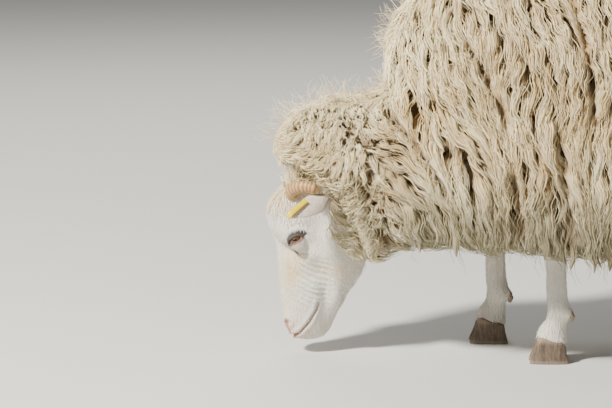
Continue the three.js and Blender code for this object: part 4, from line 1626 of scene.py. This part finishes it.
def skin_marks(p):
    """How sandy, bare and dark the skin is at each point, as values from 0 to 1; the dark is partly painted
    shade.
    """
    e, above = slit_measure(p)
    x, y, z = np.abs(p[:, 0]), p[:, 1], p[:, 2]
    cloudy = 1 + 0.5 * noise(p, 26, 91)
    forehead = smooth(y, -284, -314) * smooth(z, 192, 230)
    sandy = 0.95 * forehead
    for cy, cz, wide, high, share in SAND_PATCHES:
        sandy = sandy + share * np.exp(-(((y - cy) / wide) ** 2) - ((z - cz) / high) ** 2) * (y < -200)
    sandy = np.clip(sandy * cloudy, 0, 1)
    sandy = np.maximum(sandy, 0.3 * smooth(z, 210, 240) * (y > -285) * (y < -190))
    lower_rim = smooth(e, 1.15, 0.75) * (above < 0.5) * (e < 8)
    rim = smooth(e, 0.30, 0.06) * (e < 8)
    nose = smooth(nostril_measure(p), 1.75, 1.1) * (y < -285)
    lips = 0.5 * smooth(near_line(p, LIP_LINE), 3.4, 1.6) * (y < -256) * (z < 80)
    muzzle = smooth(z, 34, 22) * smooth(y, -270, -290)
    bare = np.clip(lower_rim + rim + 0.9 * nose + 0.6 * lips + 0.5 * muzzle, 0, 1)
    by_eye = smooth(np.linalg.norm(on_left(p) - EYE, axis=1), 21, 18)
    # the dark lid edge and lashes, widened upwards into painted shadow under the upper lid
    lash_and_lid_shadow = smooth(e, 2.8, 2.0) * (above > -0.4) * (e < 8) * by_eye
    corner = np.exp(-(np.sum((on_left(p) - (48, -300.5, 166.5)) ** 2, 1) / 12.0))
    # a dark tear groove below the eye, deepened with painted shade along the step under the orbit
    tear_and_shade = np.exp(-((near_line(p, TEAR_AND_SHADE_LINE) / 2.2) ** 2)) * (x > 24) * (e > 0.2) * (y < -284)
    # painted shade inside the dented nostril slits
    hole = smooth(nostril_measure(p), 1.0, 0.6) * (y < -285)
    # painted shade along the groove of the mouth
    mouth = smooth(near_line(p, LIP_LINE), 1.9, 0.7) * (y < -258) * (z < 78)
    # painted shadow along the step under the brow
    brow_step_shadow = 0.30 * np.exp(-((near_line(p, ORBIT_STEP) / 3.0) ** 2)) * (x > 12) * (y < -276)
    round_eye = 0.95 * lash_and_lid_shadow + 0.7 * corner + 0.6 * tear_and_shade + 0.6 * lower_rim
    dark = brow_step_shadow + round_eye + 0.85 * hole + 0.4 * mouth
    return sandy, bare, np.clip(dark, 0, 1)


side, y, z = np.abs(skin_points[:, 0]), skin_points[:, 1], skin_points[:, 2]
sandy, bare, dark = skin_marks(skin_points)
inner = inner_ear_share(skin_points)
ear_back = 0.14 * (side > 50) * (z > 196) * (y < -225)
deep_in_wool, _ = fleece.at(skin_points)
in_wool = smooth(deep_in_wool[:, 0], 2, 10) * smooth(z, 120, 150) * (1 - inner)
in_wool[(y < -232) & (z < 282)] = 0  # the face shows no wool
cheek = smooth(y, -300, -270) * smooth(z, 60, 90) * smooth(z, 165, 140)
set_attribute(skin, "sandy", sandy)
set_attribute(skin, "bare", np.clip(bare + 0.55 * inner + ear_back, 0, 1))
set_attribute(skin, "dark", dark)
set_attribute(skin, "wool", in_wool)
set_attribute(skin, "ripple", cheek * (y < -190))
finish_piece(
    skin, sheep_skin, "face_hair", "trunk", "neck", "head", "tail", "left_ear", "right_ear",
    *[foot + "_leg" for foot in FEET],
)


# ------------------------------------------------------------- short tufts
def skin_normals():
    flat = np.empty(len(skin.data.vertices) * 3)
    skin.data.vertex_normals.foreach_get("vector", flat)
    return flat.reshape(-1, 3)


SKIN_NORMALS = skin_normals()


def near_skin(points):
    """Outward direction of the skin at points on it."""
    found = np.empty_like(points)
    for k, p in enumerate(points.tolist()):
        _, normal, face, _ = skin_tree.find_nearest(p)
        found[k] = SKIN_NORMALS[skin_triangles[face]].mean(0)
    return unit(found)


def short_tufts(name, roots, ways, length, radius, lift, rows=4, curl=None):
    """Small flat tufts that leave the skin at a low angle along ways, or curls of wool."""
    n = near_skin(roots)
    t = unit(ways - n * dot(ways, n) + rng.normal(0, 0.16, roots.shape))
    t = unit(t - n * dot(t, n))
    s = np.linspace(0, 1, rows)[None, :, None]
    rise = -0.6 + 1.15 * s**0.5 + (lift * length)[:, None, None] * s**1.6
    bend = np.cross(n, t)[:, None] * (rng.normal(0, 0.10, len(roots)) * length)[:, None, None] * s**2
    paths = roots[:, None] + t[:, None] * length[:, None, None] * s + n[:, None] * rise + bend
    thin = np.interp(np.linspace(0, 1, rows), [0, 0.33, 0.67, 1], [0.75, 1.0, 0.75, 0.3])[None]
    if curl:
        turns = rng.uniform(0, 6.3, (len(roots), 1)) + s[..., 0] * length[:, None] / 3.2
        sway = np.cross(n, t)[:, None] * np.sin(turns)[..., None] + n[:, None] * np.cos(turns)[..., None]
        paths = paths + curl * s * sway
    radii = radius * rng.uniform(0.75, 1.25, len(roots))[:, None] * thin
    normals = np.repeat(n[:, None], rows, axis=1)
    tint = rng.random(len(roots))
    if curl:
        shades = {"shade": tint, "lock": rng.random(len(roots)), "deep": 0 * tint}
        finish_piece(strands(name, paths, normals, radii, 0.8, 3, **shades), fleece_wool, "fleece")
    else:
        shades = {"shade": tint, "sandy": skin_marks(roots)[0]}
        finish_piece(strands(name, paths, normals, radii, 0.6, 3, **shades), short_hair, "face_hair")


def head_part(p):
    """The face, but for the eyes, the nostrils, the lips' edges and the ears."""
    side, y, z = np.abs(p[:, 0]), p[:, 1], p[:, 2]
    e, above = slit_measure(p)
    depth, _ = fleece.at(p)
    ear = (side > 52) & (z > 200)
    clear = (e > np.where(above > 0, 2.6, 1.7)) & (nostril_measure(p) > 1.5)
    lips = (near_line(p, LIP_LINE) > 2.6) | (y > -256)
    return (y < -190) & (z > 21) & (z < 285) & (depth[:, 0] < 14) & clear & lips & ~ear


def head_gap(p):
    """The gap between the face's tufts, which are closer on the forehead."""
    front = smooth(p[:, 1], -262, -290) * smooth(p[:, 2], 180, 200)
    return (3.4 - 0.5 * front) * HAIR_THINNED


hair_roots = roots_on(skin_points, skin_triangles, head_gap, head_part)
x, y, z = hair_roots.T
side = np.sign(x)
forehead = smooth(z, 186, 214) * smooth(y, -262, -288)
jaw = smooth(y, -236, -214) * smooth(z, 190, 120)
ways = np.column_stack(
    [
        side * (0.12 + 0.35 * forehead),
        -0.15 * forehead + 0.55 * smooth(y, -318, -250),
        -1 + 0.5 * smooth(y, -260, -215),
    ]
)
ways = ways + 0.25 * np.column_stack([noise(hair_roots, 34, k) for k in (61, 62, 63)])
hair_length = 5.0 + 2.0 * rng.random(len(x)) + 5.0 * forehead + 3.0 * jaw
hair_length = np.where(z < 70, hair_length * 0.65, hair_length)
hair_length = hair_length * (0.45 + 0.55 * smooth(slit_measure(hair_roots)[0], 1.0, 3.0))
lies = 0.34 * forehead + 0.14 * jaw
short_tufts("face_tufts", hair_roots, ways, hair_length, 0.46 + 0.1 * forehead[:, None], lies)


def poll_part(p):
    """The crown between the horns, up to the edge of the fleece, and the places behind the horns."""
    side, y, z = np.abs(p[:, 0]), p[:, 1], p[:, 2]
    depth, _ = fleece.at(p)
    edge = np.interp(side, [0, 20, 40, 60], [236, 238, 246, 238])
    behind = (y > -240) & (side < 46)
    crown = (z > edge) & (y < -232) & (side < 50) & ~behind
    temple = (side > 24) & (side < 58) & (y > -266) & (y < -222) & (z > 236)
    return (crown | temple) & (z < 330) & (depth[:, 0] < 34)


poll_roots = roots_on(skin_points, skin_triangles, evenly(3.4), poll_part)
x, y, z = poll_roots.T
rise = 0.5 * smooth(y, -285, -300)
poll_ways = np.column_stack([0.6 * np.sign(x) * smooth(np.abs(x), 4, 30), -0.2 + rise, 0.15 + rise])
poll_ways = poll_ways + 0.5 * np.column_stack([noise(poll_roots, 22, k) for k in (71, 72, 73)])
poll_length = rng.uniform(17, 27, len(x)) * np.clip(smooth(z, 230, 252), 0.55, 1)
short_tufts("poll_tufts", poll_roots, poll_ways, poll_length, 0.95, 0.85, 9, 3.0)


def cheek_part(p):
    """The back of the cheek, where the wool begins in tight curls."""
    side, y, z = np.abs(p[:, 0]), p[:, 1], p[:, 2]
    edge = np.interp(z, [140, 150, 163, 183, 236], [-196, -212, -236, -245, -243])
    return (y > edge) & (y < -190) & (z > 142) & (z < 240) & (side > 12)


curl_roots = roots_on(skin_points, skin_triangles, evenly(3.4), cheek_part)
curl_ways = np.column_stack([noise(curl_roots, size, seed) for size, seed in ((18, 81), (16, 82), (16, 83))])
curl_ways = curl_ways + (0, 0.5, -0.7)
curl_length = rng.uniform(12, 22, len(curl_roots))
short_tufts("cheek_curls", curl_roots, curl_ways, curl_length, 0.85, 0.4, 9, 2.8)


def ear_part(p):
    side, y, z = np.abs(p[:, 0]), p[:, 1], p[:, 2]
    depth, _ = fleece.at(p)
    return (side > 50) & (z > 196) & (y < -225) & (y > -305) & (depth[:, 0] < 10)


ear_roots = roots_on(skin_points, skin_triangles, evenly(3.3), ear_part)
hollow = inner_ear_share(ear_roots) > 0.5
ear_ways = EAR_AXIS * np.where(ear_roots[:, :1] > 0, 1, MIRROR)
ear_length = np.where(hollow, 7.0, 4.2) * rng.uniform(0.8, 1.2, len(ear_roots))
short_tufts("ear_tufts", ear_roots, ear_ways, ear_length, 0.42, np.where(hollow, 0.28, 0.02))


def leg_part(p):
    y, z = p[:, 1], p[:, 2]
    depth, _ = fleece.at(p)
    return (z > 30) & (z < 250) & (y > -60) & (depth[:, 0] < 25)


leg_roots = roots_on(skin_points, skin_triangles, evenly(4.4), leg_part)
leg_ways = np.tile([0, 0.12, -1.0], (len(leg_roots), 1))
leg_length = 5.5 + 2.5 * rng.random(len(leg_roots)) + 4 * smooth(leg_roots[:, 2], 150, 220)
leg_length = np.where(leg_roots[:, 2] < 52, 7.5, leg_length)
short_tufts("leg_tufts", leg_roots, leg_ways, leg_length, 0.7, 0.08 + 0 * leg_length)


# ---------------------------------------------------------- pieces of fleece
MOST_TRIANGLES = 185000  # in one piece of fleece


def coat_pieces(kind, lock, paths, normals, radii, deep, sides, flat):
    """Sorts strands from face to tail into pieces that each stay small enough."""
    order = np.argsort(paths[:, 0, 1], kind="stable")
    rows = paths.shape[1]
    per = rows * sides * 2
    flat_lock = "backing" in kind
    pieces = math.ceil(len(order) * per / MOST_TRIANGLES)
    for k, part in enumerate(np.array_split(order, pieces)):
        obj = strands(
            f"fleece_{kind}_{k + 1}", paths[part], normals[part], radii[part], flat, sides,
            shade=rng.random(len(part)), lock=lock[part], deep=deep[part],
        )
        if flat_lock:
            one = np.concatenate([np.tile([0.5, 0.0, 0.5, 1.0], rows), [0.5, 0.5]])
            set_attribute(obj, "across", np.tile(one, len(part)))
        finish_piece(obj, fleece_mat if flat_lock else fleece_wool, "fleece")


for values in wool.parts:
    coat_pieces(*values)

# --------------------------------------------------------- floor and lights
bpy.ops.object.select_all(action="DESELECT")
bpy.ops.mesh.primitive_plane_add(size=24, location=(0, 0, 0))
floor = bpy.context.object
floor.name = floor.data.name = "floor"


def floor_color(g):
    cloudy = g.between(g.noise(1.5, g.place(), 2.0), 0.3, 0.7, 0.0, 0.12)
    return g.mix(cloudy, (0.66, 0.66, 0.64), (0.61, 0.61, 0.59))


floor.data.materials.append(new_material("pale_floor", floor_color, 0.8, Specular_IOR_Level=0.2))


def softbox(name, spot, size, power, color):
    """A square lamp at spot, of a size in metres and a power in watts, that faces the sheep."""
    light = bpy.data.lights.new(name, "AREA")
    light.size, light.energy, light.color = size, power, color
    obj = bpy.data.objects.new(name, light)
    bpy.context.collection.objects.link(obj)
    obj.location = spot
    aim(obj, (0, -0.2, 0.3))


EVEN_LIGHT = 0.13  # strength of the light from all round
softbox("key_light", (1.9, -2.6, 2.9), 0.5, 470, (1.0, 0.95, 0.86))
softbox("fill_light", (2.8, 1.6, 1.2), 2.6, 8, (0.92, 0.96, 1.0))
softbox("back_light", (-2.6, -0.6, 2.4), 2.0, 60, (1.0, 0.97, 0.93))
world = bpy.data.worlds.new("studio")
bpy.context.scene.world = world
world.use_nodes = True
sky = world.node_tree.nodes["Background"].inputs
sky["Color"].default_value = (0.93, 0.96, 1.0, 1)
sky["Strength"].default_value = EVEN_LIGHT
